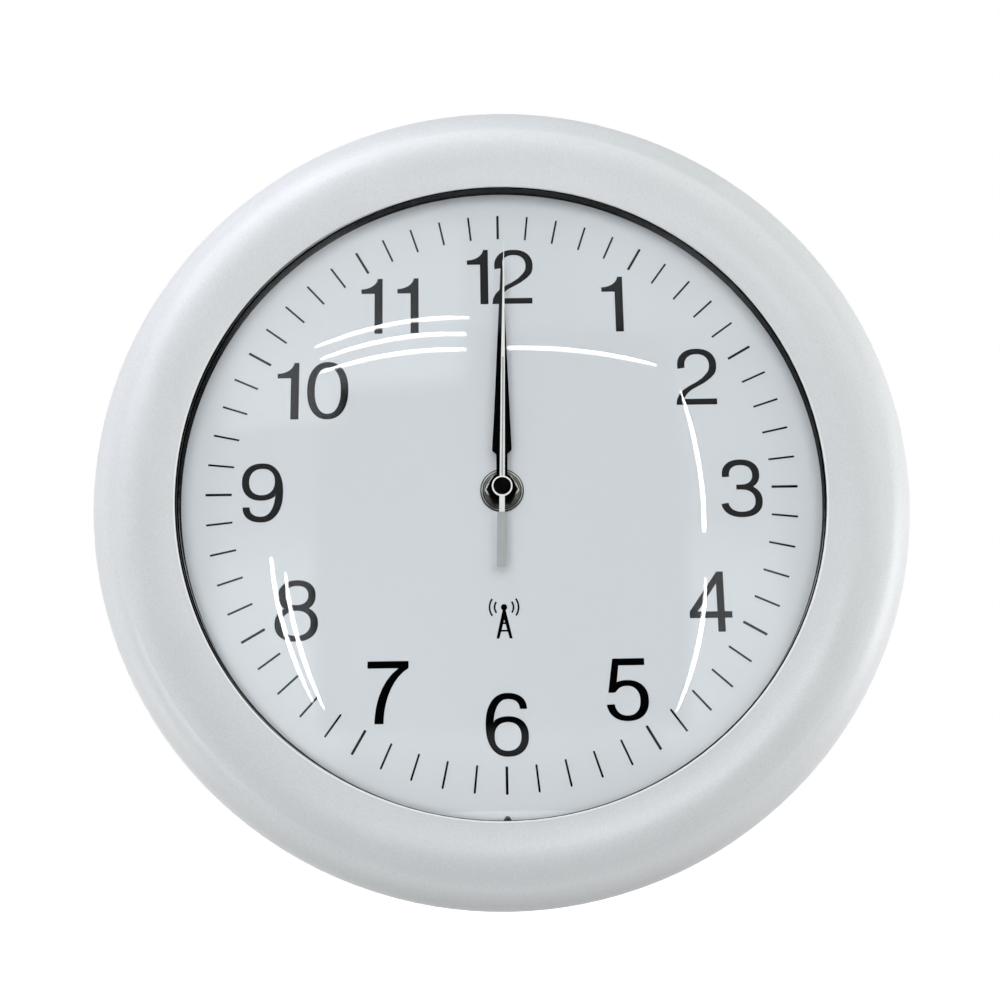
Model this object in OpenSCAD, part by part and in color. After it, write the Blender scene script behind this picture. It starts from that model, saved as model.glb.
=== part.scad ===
// Radio-controlled wall clock, hanging on a wall.
// Each piece is drawn facing up, its height measured from the wall, and then stood upright:
// X to the right, Z up, the wall at Y = 0 and the dial facing -Y. The hands turn about the Y axis.

/* [Frame] */
// Outer diameter of the frame
frame_d = 300; // [290:1:320]
// Width of the frame's band, from its outer edge to the opening over the dial
band_w = 30.3; // [27:0.1:34]
// Height of the frame's crest above the wall
crest_h = 47.5; // [46:0.5:52]
// Height of the opening's lip above the wall
lip_h = 38.5; // [37.5:0.1:41]
// Radius of the frame's outer round
round_r = 11; // [9:0.5:13]
// How far the frame's skirt draws in at the wall
skirt_draw = 5; // [2:0.5:8]
// Wall thickness of the frame
frame_t = 2.6; // [2:0.1:3.2]
// Thickness of the lip at its edge
lip_t = 0.8; // [0.6:0.1:1.4]
// Width of the ledge that holds the lens, under the lip
ledge_w = 3.8; // [3:0.1:5]
// Thickness of the wall round the lens, spacer and dial
cup_t = 2.5; // [1.6:0.1:3]
// Number of screw bosses, and of screws in the back plate
boss_count = 6; // [4:1:8]
// Radius of a screw boss
boss_r = 4; // [3.5:0.1:5]
// Number of stiffening gussets between the bosses
gusset_count = 24; // [12:6:36]
// Thickness of a gusset
gusset_t = 1.4; // [1:0.1:2.4]

/* [Lens and dial] */
// Thickness of the lens
lens_t = 1.8; // [1.4:0.1:2.4]
// Height of the lens's dome above its flange
dome_h = 11; // [9:0.5:15]
// Thickness of the gasket under the lens
gasket_t = 1; // [0.6:0.1:1.5]
// Height of the dial's front face above the wall
dial_h = 30; // [29:0.1:30.6]
// Thickness of the dial
dial_t = 0.8; // [0.5:0.1:1.2]
// Gap all round between the lens, spacer or dial and the frame
seat_gap = 0.3; // [0.15:0.05:0.5]
// Width of the locating nub on the spacer ring
nub_w = 3; // [2:0.1:4]
// How far the nub stands in from the ring
nub_reach = 1.6; // [1:0.1:2.5]
// Height of the nub above the dial
nub_h = 1.6; // [1:0.1:2.5]

/* [Dial printing] */
// Thickness of the printed ink
ink_t = 0.08; // [0.05:0.01:0.15]
// Distance from the opening's edge in to the outer ends of the minute marks
mark_inset = 9; // [6:0.1:14]
// Length of a minute mark
mark_l = 9.8; // [6:0.1:11]
// Width of a minute mark
mark_w = 0.74; // [0.5:0.02:1]
// Width of a five-minute mark
hour_mark_w = 0.94; // [0.6:0.02:1.4]
// Height of a numeral
numeral_h = 22.4; // [18:0.2:23]
// Distance from the outer ends of the minute marks in to the ring of numerals
numeral_inset = 24.2; // [22.6:0.1:27]
// Distance of the radio symbol's centre below the hands' axis
symbol_drop = 46; // [42:0.5:56]
// Height of the radio symbol
symbol_h = 18.5; // [12:0.5:20]

/* [Back plate] */
// Thickness of the back plate
back_t = 2.5; // [2:0.1:3]
// How far the back plate reaches past the screws
back_edge = 4.5; // [3.5:0.1:6]
// Height of the back plate's ribs
rib_h = 3; // [2:0.1:5]
// Thickness of a rib
rib_t = 1.6; // [1:0.1:2.4]
// Number of radial ribs
rib_count = 12; // [6:2:24]
// Distance from the frame's inner wall in to the circular rib
ring_rib_inset = 26; // [14:1:44]

/* [Centre fixing] */
// Thickness of the rubber washer behind the back plate
rubber_t = 1; // [0.6:0.1:1.2]
// Radius of the rubber washer
rubber_r = 9; // [7:0.5:12]
// Radius of the threaded boss
thread_r = 4; // [3.8:0.1:4.2]
// Radius of the dial washer
washer_r = 8.15; // [7.5:0.05:10]
// Thickness of the dial washer
washer_t = 0.8; // [0.5:0.1:1]
// Size of the nut across its flats
nut_flats = 11; // [10:0.1:12]
// Thickness of the nut
nut_t = 2.2; // [1.8:0.1:2.4]

/* [Hands] */
// Length of the hour hand from the axis
hour_l = 62; // [50:1:72]
// Length of the minute hand from the axis
minute_l = 92.5; // [80:0.5:99]
// Length of the second hand from the axis
second_l = 95.5; // [85:0.5:100]
// Width of the hour and minute hands at the shoulder
blade_w = 7.1; // [5:0.1:9]
// Width of their neck
neck_w = 4; // [3:0.1:4.6]
// Distance of the neck's end from the axis
neck_l = 13.1; // [11:0.1:18]
// Thickness of the hour and minute hands
hand_t = 0.4; // [0.3:0.05:0.5]
// Radius of the round end of the hour and minute hands
eye_r = 5; // [4.7:0.1:5.4]
// Width of the second hand at its hub
second_w = 1.9; // [1.4:0.1:2.4]
// Thickness of the second hand
second_t = 0.3; // [0.2:0.05:0.4]
// Length of the second hand's tail
tail_l = 30; // [22:0.5:40]
// Width of the tail's paddle
paddle_w = 3.45; // [2.5:0.05:5]
// Distance of the paddle's start from the axis
paddle_start = 9.7; // [7:0.1:14]
// Radius of the second hand's hub
hub_r = 3.8; // [3.4:0.1:4.2]
// Radius of the cap on that hub
cap_r = 3.25; // [2.6:0.05:3.3]
// Angle of the second hand past twelve
second_lean = 1.3; // [-2:0.1:2]
// Angle of the minute hand past twelve
minute_lean = 0.8; // [-2:0.1:2]

/* [Movement] */
// Width of the movement
case_w = 88; // [79:0.5:96]
// Height of the movement above the hands' axis
case_top = 34; // [33.6:0.1:38]
// Depth of the movement
case_d = 17.5; // [17.2:0.1:19]
// Wall thickness of the movement
case_t = 1.6; // [1.2:0.1:1.8]
// Thickness of the movement's cover
cover_t = 1.8; // [1.4:0.1:2]
// Distance of the board's lower edge below the hands' axis
board_drop = 30.4; // [29.5:0.1:34]
// Height of the circuit board
board_w = 12; // [11:0.1:12.5]
// Thickness of the circuit board
board_t = 1; // [0.8:0.1:1.2]
// Radius of a push button
button_r = 2.5; // [2:0.1:3]
// Travel of a push button
button_travel = 0.9; // [0.5:0.1:1]
// How far a button stands out of the cover
button_proud = 1; // [0.5:0.1:1.6]
// Distance between push buttons
button_pitch = 18; // [16:0.5:20]
// Radius of the antenna rod
rod_r = 4; // [3.5:0.1:4.1]
// Length of the antenna rod
rod_l = 60; // [52:0.5:62]

/* [Gear train] */
// Module of the wheels that turn the hands' pipes
hand_module = 0.35; // [0.34:0.005:0.355]
// Module of the faster wheels
fast_module = 0.3; // [0.29:0.005:0.305]
// Module of the pair between the minute pipe and the motion wheel
motion_module = 0.5; // [0.49:0.005:0.505]
// Thickness of a wheel
wheel_t = 1; // [0.8:0.05:1.1]
// Distance from one layer of wheels to the next
layer_pitch = 1.8; // [1.7:0.05:1.85]
// Radius of the second hand's arbor
arbor_r = 0.75; // [0.6:0.05:0.85]
// Wall thickness of the minute pipe and the hour pipe
pipe_t = 0.95; // [0.8:0.05:0.97]
// Radial running clearance of a shaft
run_gap = 0.05; // [0.03:0.01:0.07]

/* [Battery and hanger] */
// Diameter of the AA cell
cell_d = 14.2; // [13.6:0.1:14.4]
// Length of the AA cell with its terminal
cell_l = 50.5; // [49.5:0.1:50.7]
// Gap between the cell and its bay
cell_gap = 0.45; // [0.3:0.05:0.7]
// Thickness of the contact metal
contact_t = 0.4; // [0.3:0.05:0.5]
// Depth of the bowed minus contact
bow_d = 2.2; // [1.6:0.1:3]
// Thickness of the hanger plate
hanger_t = 2; // [1.5:0.1:2.5]
// Width of the hanger plate
hanger_w = 32; // [28:0.5:40]
// Radius of the keyhole's entry
key_r = 4.5; // [4:0.1:5]
// Width of the keyhole's slot
slot_w = 5; // [4:0.1:5]
// Length of the keyhole's slot from the entry's centre
slot_l = 10; // [8:0.5:11]

/* [Hidden] */
$fn = 180;

// Tiny overshoot of a cutting shape past the face that it cuts
cut = 0.1;

// Frame
frame_r = frame_d / 2;
opening_r = frame_r - band_w;
crest_r = frame_r - round_r;
lip_drop = crest_h - lip_h;
inner_round_r = (pow(crest_r - opening_r, 2) + pow(lip_drop, 2)) / (2 * lip_drop);
waist_h = crest_h - round_r;
rear_r = frame_r - skirt_draw;
cup_in = opening_r + ledge_w;
cup_out = cup_in + cup_t;
boss_inset = 2.5;
boss_ring = cup_out + boss_r + boss_inset;
screw_r = 1.4;
screw_gap = 0.05;
screw_head_r = 2.8;
screw_head_t = 1.8;
screw_l = 12;
screw_end_gap = 1;
gusset_drop = 2;

// Heights of the stack from the lip down to the movement
lens_front = lip_h - lip_t;
lens_back = lens_front - lens_t;
gasket_back = lens_back - gasket_t;
back_front = dial_h - dial_t;
back_rear = back_front - back_t;
case_front = back_rear - rubber_t;
case_rear = case_front - case_d;
floor_h = case_front - case_t;
cover_in = case_rear + cover_t;
seat_r = cup_in - seat_gap;
dome_inset = 0.5;
dome_r = opening_r - dome_inset;
gasket_inset = 0.1;
dome_sphere_r = (pow(dome_r, 2) + pow(dome_h, 2)) / (2 * dome_h);
dome_centre = lens_front + dome_h - dome_sphere_r;
mark_r = opening_r - mark_inset;
numeral_r = mark_r - numeral_inset;

// Centre fixing and the coaxial pipes
fixing_gap = 0.15;
hole_r = thread_r + fixing_gap;
washer_top = dial_h + washer_t;
washer_groove_r = washer_r - 1.1;
washer_groove_w = 0.5;
nut_top = washer_top + nut_t;
nut_round = 0.2;
chamfer_r = nut_flats / 2 + nut_round;
thread_proud = 0.2;
thread_top = nut_top + thread_proud;
minute_in = arbor_r + run_gap;
minute_out = minute_in + pipe_t;
hour_in = minute_out + run_gap;
hour_out = hour_in + pipe_t;
boss_bore = hour_out + run_gap;
bush_gap = 0.03;
bush_h = 1.7;
flange_h = 0.4;
step_gap = 0.4;
bush_lift = 0.3;
hour_bush_h = thread_top + bush_lift;
hour_top = hour_bush_h + bush_h;
minute_bush_h = hour_top + step_gap;
minute_top = minute_bush_h + bush_h;
second_h = minute_top + step_gap;
hub_t = 0.5;
second_top = second_h + second_t + hub_t;
cap_t = 0.6;
tail_neck = 1;
shoulder_l = 1.3;
tip_w = 0.24;
second_tip_w = 0.2;
bush_neck_r = eye_r - 1.6;
bush_flange_r = eye_r - 0.4;

// Layers of the gear train, from the floor of the movement towards the wall
first_gap = 0.9;
hour_layer = floor_h - first_gap;
motion_layer = hour_layer - layer_pitch;
minute_layer = motion_layer - layer_pitch;
idler_layer = minute_layer - layer_pitch;
seconds_layer = idler_layer - layer_pitch;
bridge_t = 1;
bridge_gap = 1.6;
bridge_h = cover_in + bridge_gap;
bridge_top = bridge_h + bridge_t;
pinion_lap = 0.1;
shoulder_gap = 0.1;
hub_lap = 0.4;
pipe_lap = 0.3;

// Tooth numbers
hand_teeth = 60;
hand_pinion = 10;
slow_teeth = 48;
fast_teeth = 40;
fast_pinion = 8;
motion_pinion = 12;
motion_teeth = 36;
hour_pinion = 10;
hour_teeth = 40;

// Centre distances; the hour pair shares the motion pair's distance
hand_reach = hand_module * (hand_teeth + hand_pinion) / 2;
slow_reach = fast_module * (slow_teeth + fast_pinion) / 2;
fast_reach = fast_module * (fast_teeth + fast_pinion) / 2;
motion_reach = motion_module * (motion_pinion + motion_teeth) / 2;
hour_module = 2 * motion_reach / (hour_pinion + hour_teeth);

// Directions of the trains round the axis, and the places that they lead to
idler_a_dir = 150;
rotor_a_dir = 180;
idler_b_dir = 20;
fast_b_dir = 0;
rotor_b_dir = -30;
motion_dir = 270;
function go(from, dir, reach) = from + reach * [cos(dir), sin(dir)];
idler_a = go([0, 0], idler_a_dir, hand_reach);
rotor_a = go(idler_a, rotor_a_dir, fast_reach);
slow_b = go([0, 0], idler_b_dir, hand_reach);
fast_b = go(slow_b, fast_b_dir, slow_reach);
rotor_b = go(fast_b, rotor_b_dir, fast_reach);
motion_at = go([0, 0], motion_dir, motion_reach);
pin_r = 0.5;
pivot_r = 0.35;
centre_pivot_r = 0.45;
pivot_depth = 1;
magnet_r = 3;
magnet_l = 2.6;
magnet_gap = 0.6;
magnet_lift = 0.6;

// Stepping motors: a plate with the rotor's hole, a core behind it and a coil on the core
stator_t = 0.8;
stator_half_w = 4.2;
arm_w = 3;
arm_half = 10.5;
core_w = 3;
coil_r = 3;
coil_l = 16;
coil_bore_gap = 0.1;
coil_a_x = -30;
coil_b_x = 34;
stator_gap = 0.4;
stator_a_h = seconds_layer - wheel_t - stator_gap - stator_t;
stator_b_lift = 1.4;
stator_b_h = seconds_layer + stator_b_lift;
stator_post_r = 1.8;
post_a_x = -25;
post_b_x = 28;

// Movement case
half_w = case_w / 2;
inner_w = half_w - case_t;
partition_t = 1.5;
board_gap = 0.6;
partition_top = -board_drop - board_gap;
bay_top = partition_top - partition_t;
cell_r = cell_d / 2;
bay_y = bay_top - cell_r - cell_gap;
bay_bottom = bay_y - cell_r - cell_gap;
case_bottom = bay_bottom - case_t;
cell_sink = 0.7;
cell_h = case_rear + cell_r + cell_sink;
cradle_gap = 0.3;
bay_rib_x = 14;
bay_rib_w = 2;
terminal_l = 1.3;
terminal_r = 2.75;
foot_round = 0.5;
top_round = 0.8;
contact_gap = 0.2;
plus_x = cell_l / 2 + contact_gap;
minus_x = -cell_l / 2 - contact_gap;
plus_wall = plus_x + contact_t;
minus_wall = minus_x - bow_d;
end_wall_t = 1.5;
contact_half_w = 4.6;
contact_half_l = 5;
contact_low = cell_h - contact_half_l;
contact_high = cell_h + contact_half_l;
bow_inset = 1;
bow_metal = 1.2;
bow_tip = 0.5;
tab_w = 2;
tab_lap = 1.5;
tab_slot = 0.25;
tab_gap = 0.05;
post_r = 3;
post_inset = 3.2;
small_screw_r = 1;
small_head_r = 2;
small_head_t = 1.4;
small_screw_l = 8;
short_screw_l = 5;
short_head_t = 1;
case_round = 3;
inner_round = 1.4;
side_gap = 0.3;
rib_gap = 2;
lug_half = 20;
lug_reach = 3;

// Circuit board and what it carries
board_half_l = 34;
board_depth = 3;
board_rear = cover_in + board_depth;
board_front = board_rear + board_t;
board_top = -board_drop + board_w;
board_post_x = 31;
board_post_inset = 2.4;
board_screw_y = board_top - board_post_inset;
button_y = -board_drop + board_w / 2;
flange_t = 0.8;
flange_over = 0.8;
flange_gap = 0.1;
button_hole_gap = 0.3;
switch_gap = 0.1;
switch_top = cover_in + flange_gap + flange_t + button_travel + switch_gap;
switch_w = 6;
plunger_r = 1.6;
plunger_l = 0.2;
chip_w = 5.2;
chip_l = 7;
chip_t = 1.3;
crystal_r = 1.5;
crystal_l = 6;

// Antenna
coil_wall = 0.8;
antenna_gap = 0.1;
antenna_y = case_top - case_t - rod_r - coil_wall - antenna_gap;
antenna_lift = 7.1;
antenna_h = floor_h - antenna_lift;
antenna_coil_l = 36;
cradle_x = 24;
cradle_w = 3;

// Hanger
hanger_screw_x = 11;
hanger_lap = 14;
hanger_low = case_top - hanger_lap;
hanger_screw_rise = 5;
hanger_screw_y = hanger_low + hanger_screw_rise;
hanger_boss_t = 0.5;
hanger_boss_l = 1.9;
key_rise = 7.5;
key_y = case_top + key_r + key_rise;
hanger_rear = case_rear - hanger_t;

// Pillars of the train bridge, clear of every wheel
pillars = [[-22, -11], [-4, 16], [17, 15], [18, -14]];
pillar_r = 2;
bridge_left = -25;
bridge_right = 30;
bridge_low = -17;
bridge_high = 19;

// Colours
silver = [0.82, 0.84, 0.86];
pale = [0.88, 0.9, 0.92];
black = [0.05, 0.05, 0.06];
steel = [0.62, 0.63, 0.64];
brass = [0.78, 0.63, 0.3];
white = [0.93, 0.92, 0.88];

// Stands a piece drawn face up on the wall's side upright
module upright() {
    rotate([90, 0, 0]) children();
}

module disc(r, low, high) {
    translate([0, 0, low]) cylinder(r = r, h = high - low);
}

module tube(r_in, r_out, low, high) {
    difference() {
        disc(r_out, low, high);
        disc(r_in, low - cut, high + cut);
    }
}

module slab(x, y, z) {
    translate([x[0], y[0], z[0]]) cube([x[1] - x[0], y[1] - y[0], z[1] - z[0]]);
}

module at(p) {
    translate([p[0], p[1], 0]) children();
}

module round_slab(half, low_y, high_y, r, low, high) {
    translate([0, 0, low]) linear_extrude(high - low) union() {
        translate([-half + r, low_y]) square([2 * (half - r), high_y - low_y]);
        translate([-half, low_y + r]) square([2 * half, high_y - low_y - 2 * r]);
        for (x = [-half + r, half - r], y = [low_y + r, high_y - r])
            translate([x, y]) circle(r, $fn = 48);
    }
}

// Gear outline: four corners for each tooth, one tooth centred on the direction dir
module gear(mod, teeth, dir, low, high) {
    pitch_r = mod * teeth / 2;
    root_r = pitch_r - 1.2 * mod;
    tip_r = pitch_r + 0.8 * mod;
    step = 360 / teeth;
    corners = [[root_r, -0.3], [tip_r, -0.12], [tip_r, 0.12], [root_r, 0.3]];
    points = [for (i = [0:teeth - 1], c = corners)
        c[0] * [cos(dir + (i + c[1]) * step), sin(dir + (i + c[1]) * step)]];
    translate([0, 0, low]) linear_extrude(high - low) polygon(points);
}

// The same, with a gap centred on dir, so that it meshes with a tooth that points there
module gear_gap(mod, teeth, dir, low, high) {
    gear(mod, teeth, dir + 180 / teeth, low, high);
}

// Steel pin with a thinner pivot at each end
module arbor(low, high) {
    disc(pin_r, low, high);
    disc(pivot_r, low - bridge_t + shoulder_gap, high + pivot_depth - 2 * shoulder_gap);
}

module screw(shank_r, shank_l, head_r, head_t, under_head) {
    difference() {
        union() {
            disc(shank_r, under_head, under_head + shank_l);
            disc(head_r, under_head - head_t, under_head);
        }
        for (a = [0, 90]) rotate([0, 0, a])
            slab([-head_r * 0.6, head_r * 0.6], [-head_r * 0.12, head_r * 0.12],
                [under_head - head_t - cut, under_head - head_t * 0.5]);
    }
}

// Frame
module frame_section(t, inner_r) {
    intersection() {
        union() {
            translate([crest_r, waist_h]) circle(round_r - t);
            intersection() {
                translate([crest_r, crest_h - inner_round_r]) circle(inner_round_r - t);
                translate([opening_r, waist_h]) square([crest_r - opening_r, crest_h]);
            }
            polygon([[inner_r, -cut], [rear_r - t, -cut], [frame_r - t, waist_h], [inner_r, waist_h]]);
        }
        translate([opening_r, -cut]) square([frame_r, crest_h + 1]);
    }
}

module frame_body() {
    rotate_extrude($fn = 360) intersection() {
        frame_section(0, opening_r);
        translate([opening_r, 0]) square([frame_r, crest_h + 1]);
    }
}

module frame_hollow() {
    rotate_extrude($fn = 360) intersection() {
        frame_section(frame_t, cup_out);
        translate([cup_out, -cut]) square([frame_r, crest_h + 1]);
    }
}

module cup_hollow() {
    disc(cup_in, -cut, lens_front);
    disc(cup_out + cut, -cut, back_front);
}

module rim() color(silver) upright() {
    difference() {
        union() {
            difference() {
                frame_body();
                frame_hollow();
            }
            intersection() {
                frame_body();
                union() {
                    for (i = [0:boss_count - 1]) rotate([0, 0, (i + 0.5) * 360 / boss_count])
                        translate([boss_ring, 0, back_front]) cylinder(r = boss_r, h = crest_h, $fn = 48);
                    for (i = [0:gusset_count - 1]) rotate([0, 0, i * 360 / gusset_count])
                        slab([cup_out - cut, frame_r], [-gusset_t / 2, gusset_t / 2],
                            [back_front + gusset_drop, crest_h]);
                }
            }
        }
        cup_hollow();
        for (i = [0:boss_count - 1]) rotate([0, 0, (i + 0.5) * 360 / boss_count])
            translate([boss_ring, 0, back_front - cut])
                cylinder(r = screw_r + screw_gap, h = screw_l - back_t + screw_end_gap, $fn = 32);
    }
}

// Lens, gasket and spacer ring
module lens() color([0.9, 0.95, 1, 0.3]) upright() {
    rotate_extrude($fn = 360) union() {
        translate([dome_r, lens_back]) square([seat_r - dome_r, lens_t]);
        intersection() {
            translate([0, dome_centre]) difference() {
                circle(dome_sphere_r, $fn = 1440);
                circle(dome_sphere_r - lens_t, $fn = 1440);
            }
            translate([0, lens_back]) square([dome_r, dome_h + lens_t + 1]);
        }
    }
}

module lens_gasket() color(black) upright() tube(opening_r + gasket_inset, seat_r, gasket_back, lens_back);

module spacer_ring() color(black) upright() {
    tube(opening_r, seat_r, dial_h, gasket_back);
    intersection() {
        translate([0, -opening_r - 1, dial_h]) linear_extrude(nub_h)
            polygon([[-nub_w / 2, -1], [-nub_w / 2, 1], [-nub_w / 5, nub_reach + 1],
                [nub_w / 5, nub_reach + 1], [nub_w / 2, 1], [nub_w / 2, -1]]);
        disc(seat_r, dial_h, gasket_back);
    }
}

module dial() color(pale) upright() tube(hole_r, seat_r, back_front, dial_h);

// Printing on the dial
module minute_marks() color(black) upright() {
    for (i = [0:59]) rotate([0, 0, -6 * i]) {
        half = (i % 5 == 0 ? hour_mark_w : mark_w) / 2;
        slab([-half, half], [mark_r - mark_l, mark_r], [dial_h, dial_h + ink_t]);
    }
}

// Points of an oval arc, and the same in reverse order. A power over 2 squares the oval a little
oval_power = 2.25;
function bend(v) = sign(v) * pow(abs(v), 2 / oval_power);
function arc(cx, cy, rx, ry, from, to, n = 16) =
    [for (i = [0:n]) let (a = from + (to - from) * i / n)
        [cx + rx * bend(cos(a)), cy + ry * bend(sin(a))]];

// The ten digits, drawn 22.4 high on a baseline at 0, with upright strokes 2.9 wide and level ones 2.2
digit_h = 22.4;
digit_w = [15.7, 8.2, 15.5, 15.6, 15.6, 15.4, 15.5, 14.9, 15.9, 15.5];

module digit_0() difference() {
    polygon(arc(7.85, 11.2, 7.85, 11.4, 0, 350, 35));
    polygon(arc(7.85, 11.2, 4.95, 9.2, 0, 350, 35));
}

module digit_1() polygon(concat([[5.1, 0], [8.2, 0], [8.2, 22.4], [6.3, 22.4]],
    [for (a = [-12:-13:-90]) [6.4 * cos(a), 22.9 + 4.8 * sin(a)]], [[0, 16.3], [5.1, 16.3]]));

module digit_2() polygon(concat(arc(8.4, 15.6, 7.5, 6.7, 189, -28, 20),
    [[13.5, 10.5], [11, 8.6], [8.4, 7.2], [6, 5.9], [4.4, 4.5], [3.5, 3.3], [3.1, 2.3]],
    [[15.5, 2.3], [15.5, 0], [0, 0], [0.3, 2.2], [1.3, 4.2], [3.1, 6.1], [5.4, 7.6], [7.9, 8.9],
        [10.2, 10.5]],
    arc(8.4, 15.6, 4.7, 4.5, -40, 189, 20)));

module digit_3() polygon(concat(arc(7.85, 16.4, 7.05, 5.8, 188, -52, 20),
    arc(7.8, 6.25, 7.8, 6.25, 55, -172, 20), arc(7.8, 6.35, 5.1, 4.25, -172, 90, 20),
    [[6, 10.6], [6, 12.5]], arc(7.85, 16.25, 4.35, 3.75, -90, 188, 20)));

module digit_4() {
    translate([10.2, 0]) square([2.7, 21]);
    translate([0, 5.1]) square([15.6, 2.4]);
    polygon([[0, 5.1], [0, 7.5], [10.5, 22.2], [12.9, 22.2], [12.9, 19], [10.2, 17.8], [2.8, 7.3],
        [2.8, 5.1]]);
}

module digit_5() polygon(concat([[2.6, 22.5], [14.2, 22.5], [14.2, 20], [4.8, 20], [3.9, 13.5]],
    arc(7.7, 7.35, 7.7, 7.35, 116, -171, 26), arc(7.6, 7.3, 4.7, 5.3, -169, 144, 26),
    [[3.1, 10.2], [0.8, 10.2]]));

module digit_6() difference() {
    polygon(concat(arc(8.1, 16.8, 6.9, 5.8, 0, 90, 10), arc(7.9, 11.3, 7.9, 11.3, 93, 267, 26),
        arc(8.1, 7.15, 7.4, 7.15, -87, 130, 26), arc(8.1, 11, 5.2, 9.4, 176, 90, 12),
        arc(8.1, 16.8, 4.3, 3.6, 87, 0, 8)));
    polygon(arc(8, 7.15, 4.8, 5.05, 0, 350, 35));
}

module digit_7() polygon(concat([[0, 22.5], [14.9, 22.5], [14.9, 19.9]],
    [for (a = [109.5:8.5:180]) [19.4 + 13.5 * cos(a), 21.1 * sin(a)]], [[5.9, 0], [2.6, 0]],
    [for (a = [175:-9.9:115.6]) [17.6 + 15 * cos(a), 22 * sin(a)]], [[11.2, 19.9], [0, 19.9]]));

module digit_8() difference() {
    union() {
        polygon(arc(8, 16.8, 6.9, 5.8, 0, 350, 35));
        polygon(arc(7.95, 6.5, 7.95, 6.5, 0, 350, 35));
    }
    polygon(arc(8, 16.95, 4.2, 3.55, 0, 350, 35));
    polygon(arc(7.95, 6.7, 5.2, 4.6, 0, 350, 35));
}

module digit(n) {
    if (n == 0) digit_0();
    if (n == 1) digit_1();
    if (n == 2) digit_2();
    if (n == 3) digit_3();
    if (n == 4) digit_4();
    if (n == 5) digit_5();
    if (n == 6) digit_6();
    if (n == 7) digit_7();
    if (n == 8) digit_8();
    if (n == 9) translate([digit_w[6], digit_h + 0.2]) rotate(180) digit_6();
}

// Gaps inside 10, 11 and 12, how far each numeral stands out from the ring and how far it turns
// clockwise along it, set by eye
pair_gap = [3.1, 5.7, 1.5];
nudge = [-1, -0.1, 3, 0.5, 0, -0.2, -1.1, 1.3, 3, -4.7, -1.5, -1.2];
lean = [1.3, -0.5, 0.3, -0.8, -0.9, -0.4, -0.3, -0.1, 0.5, -0.9, 0.5, 0.4];

module numeral(hour) {
    scale_to = numeral_h / digit_h;
    if (hour < 10) {
        scale(scale_to) translate([-digit_w[hour] / 2, -digit_h / 2]) digit(hour);
    } else {
        second = hour - 10;
        gap = pair_gap[second];
        whole = digit_w[1] + gap + digit_w[second];
        scale(scale_to) translate([-whole / 2, -digit_h / 2]) {
            digit(1);
            translate([digit_w[1] + gap, 0]) digit(second);
        }
    }
}

module numerals() color(black) upright() {
    for (hour = [1:12]) {
        reach = numeral_r + nudge[hour - 1];
        turn = 30 * hour + lean[hour - 1] / reach * 180 / PI;
        translate([reach * sin(turn), reach * cos(turn), dial_h])
            linear_extrude(ink_t) numeral(hour);
    }
}

// A plain lattice mast with a ball on its top and two waves on each side
module radio_symbol() color(black) upright() {
    foot = symbol_h * 0.16;
    stroke = symbol_h * 0.035;
    ball_y = symbol_h * 0.62;
    translate([0, -symbol_drop - symbol_h / 2, dial_h]) linear_extrude(ink_t) {
        difference() {
            polygon([[-foot, 0], [-stroke / 2, ball_y], [stroke / 2, ball_y], [foot, 0]]);
            polygon([[-foot + 1.6 * stroke, -cut], [0, ball_y - 7 * stroke], [foot - 1.6 * stroke, -cut]]);
        }
        translate([-foot * 0.7, ball_y * 0.22]) square([foot * 1.4, stroke]);
        translate([-foot * 0.45, ball_y * 0.46]) square([foot * 0.9, stroke]);
        translate([0, ball_y]) circle(stroke * 1.8, $fn = 48);
        for (r = [symbol_h * 0.17, symbol_h * 0.27], side = [-1, 1]) intersection() {
            translate([0, ball_y]) difference() {
                circle(r + stroke, $fn = 72);
                circle(r, $fn = 72);
            }
            polygon([[0, ball_y], [side * symbol_h * 0.5, ball_y - symbol_h * 0.36],
                [side * symbol_h * 0.5, ball_y + symbol_h * 0.36]]);
        }
    }
}

// Back plate
module back_plate() color([0.16, 0.16, 0.17]) upright() {
    rib_low = back_rear - rib_h;
    back_r = boss_ring + back_edge;
    ring_rib_r = cup_in - ring_rib_inset + cup_t;
    rib_start = norm([half_w, case_bottom]) + rib_gap;
    difference() {
        union() {
            disc(back_r, back_rear, back_front);
            tube(boss_ring + screw_head_r + side_gap, back_r, rib_low, back_rear);
            tube(ring_rib_r - rib_t, ring_rib_r, rib_low, back_rear);
            for (i = [0:rib_count - 1]) rotate([0, 0, (i + 0.5) * 360 / rib_count])
                slab([rib_start, cup_out], [-rib_t / 2, rib_t / 2], [rib_low, back_rear]);
            for (x = [-half_w - side_gap - rib_t, half_w + side_gap])
                slab([x, x + rib_t], [-lug_half, lug_half], [case_front - lug_reach, back_rear]);
        }
        disc(hole_r, rib_low, back_front + cut);
        for (i = [0:boss_count - 1]) rotate([0, 0, (i + 0.5) * 360 / boss_count])
            translate([boss_ring, 0, back_rear - cut])
                cylinder(r = screw_r + fixing_gap, h = back_t + 2 * cut, $fn = 32);
    }
}

module back_screws() color(steel) upright() {
    for (i = [0:boss_count - 1]) rotate([0, 0, (i + 0.5) * 360 / boss_count])
        at([boss_ring, 0]) screw(screw_r, screw_l, screw_head_r, screw_head_t, back_rear, $fn = 32);
}

// Centre fixing
module rubber_washer() color(black) upright() tube(hole_r, rubber_r, case_front, back_rear);

module dial_washer() color(steel) upright() {
    difference() {
        tube(hole_r, washer_r, dial_h, washer_top);
        tube(washer_groove_r, washer_groove_r + washer_groove_w,
            washer_top - washer_t * 0.3, washer_top + cut);
    }
}

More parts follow.
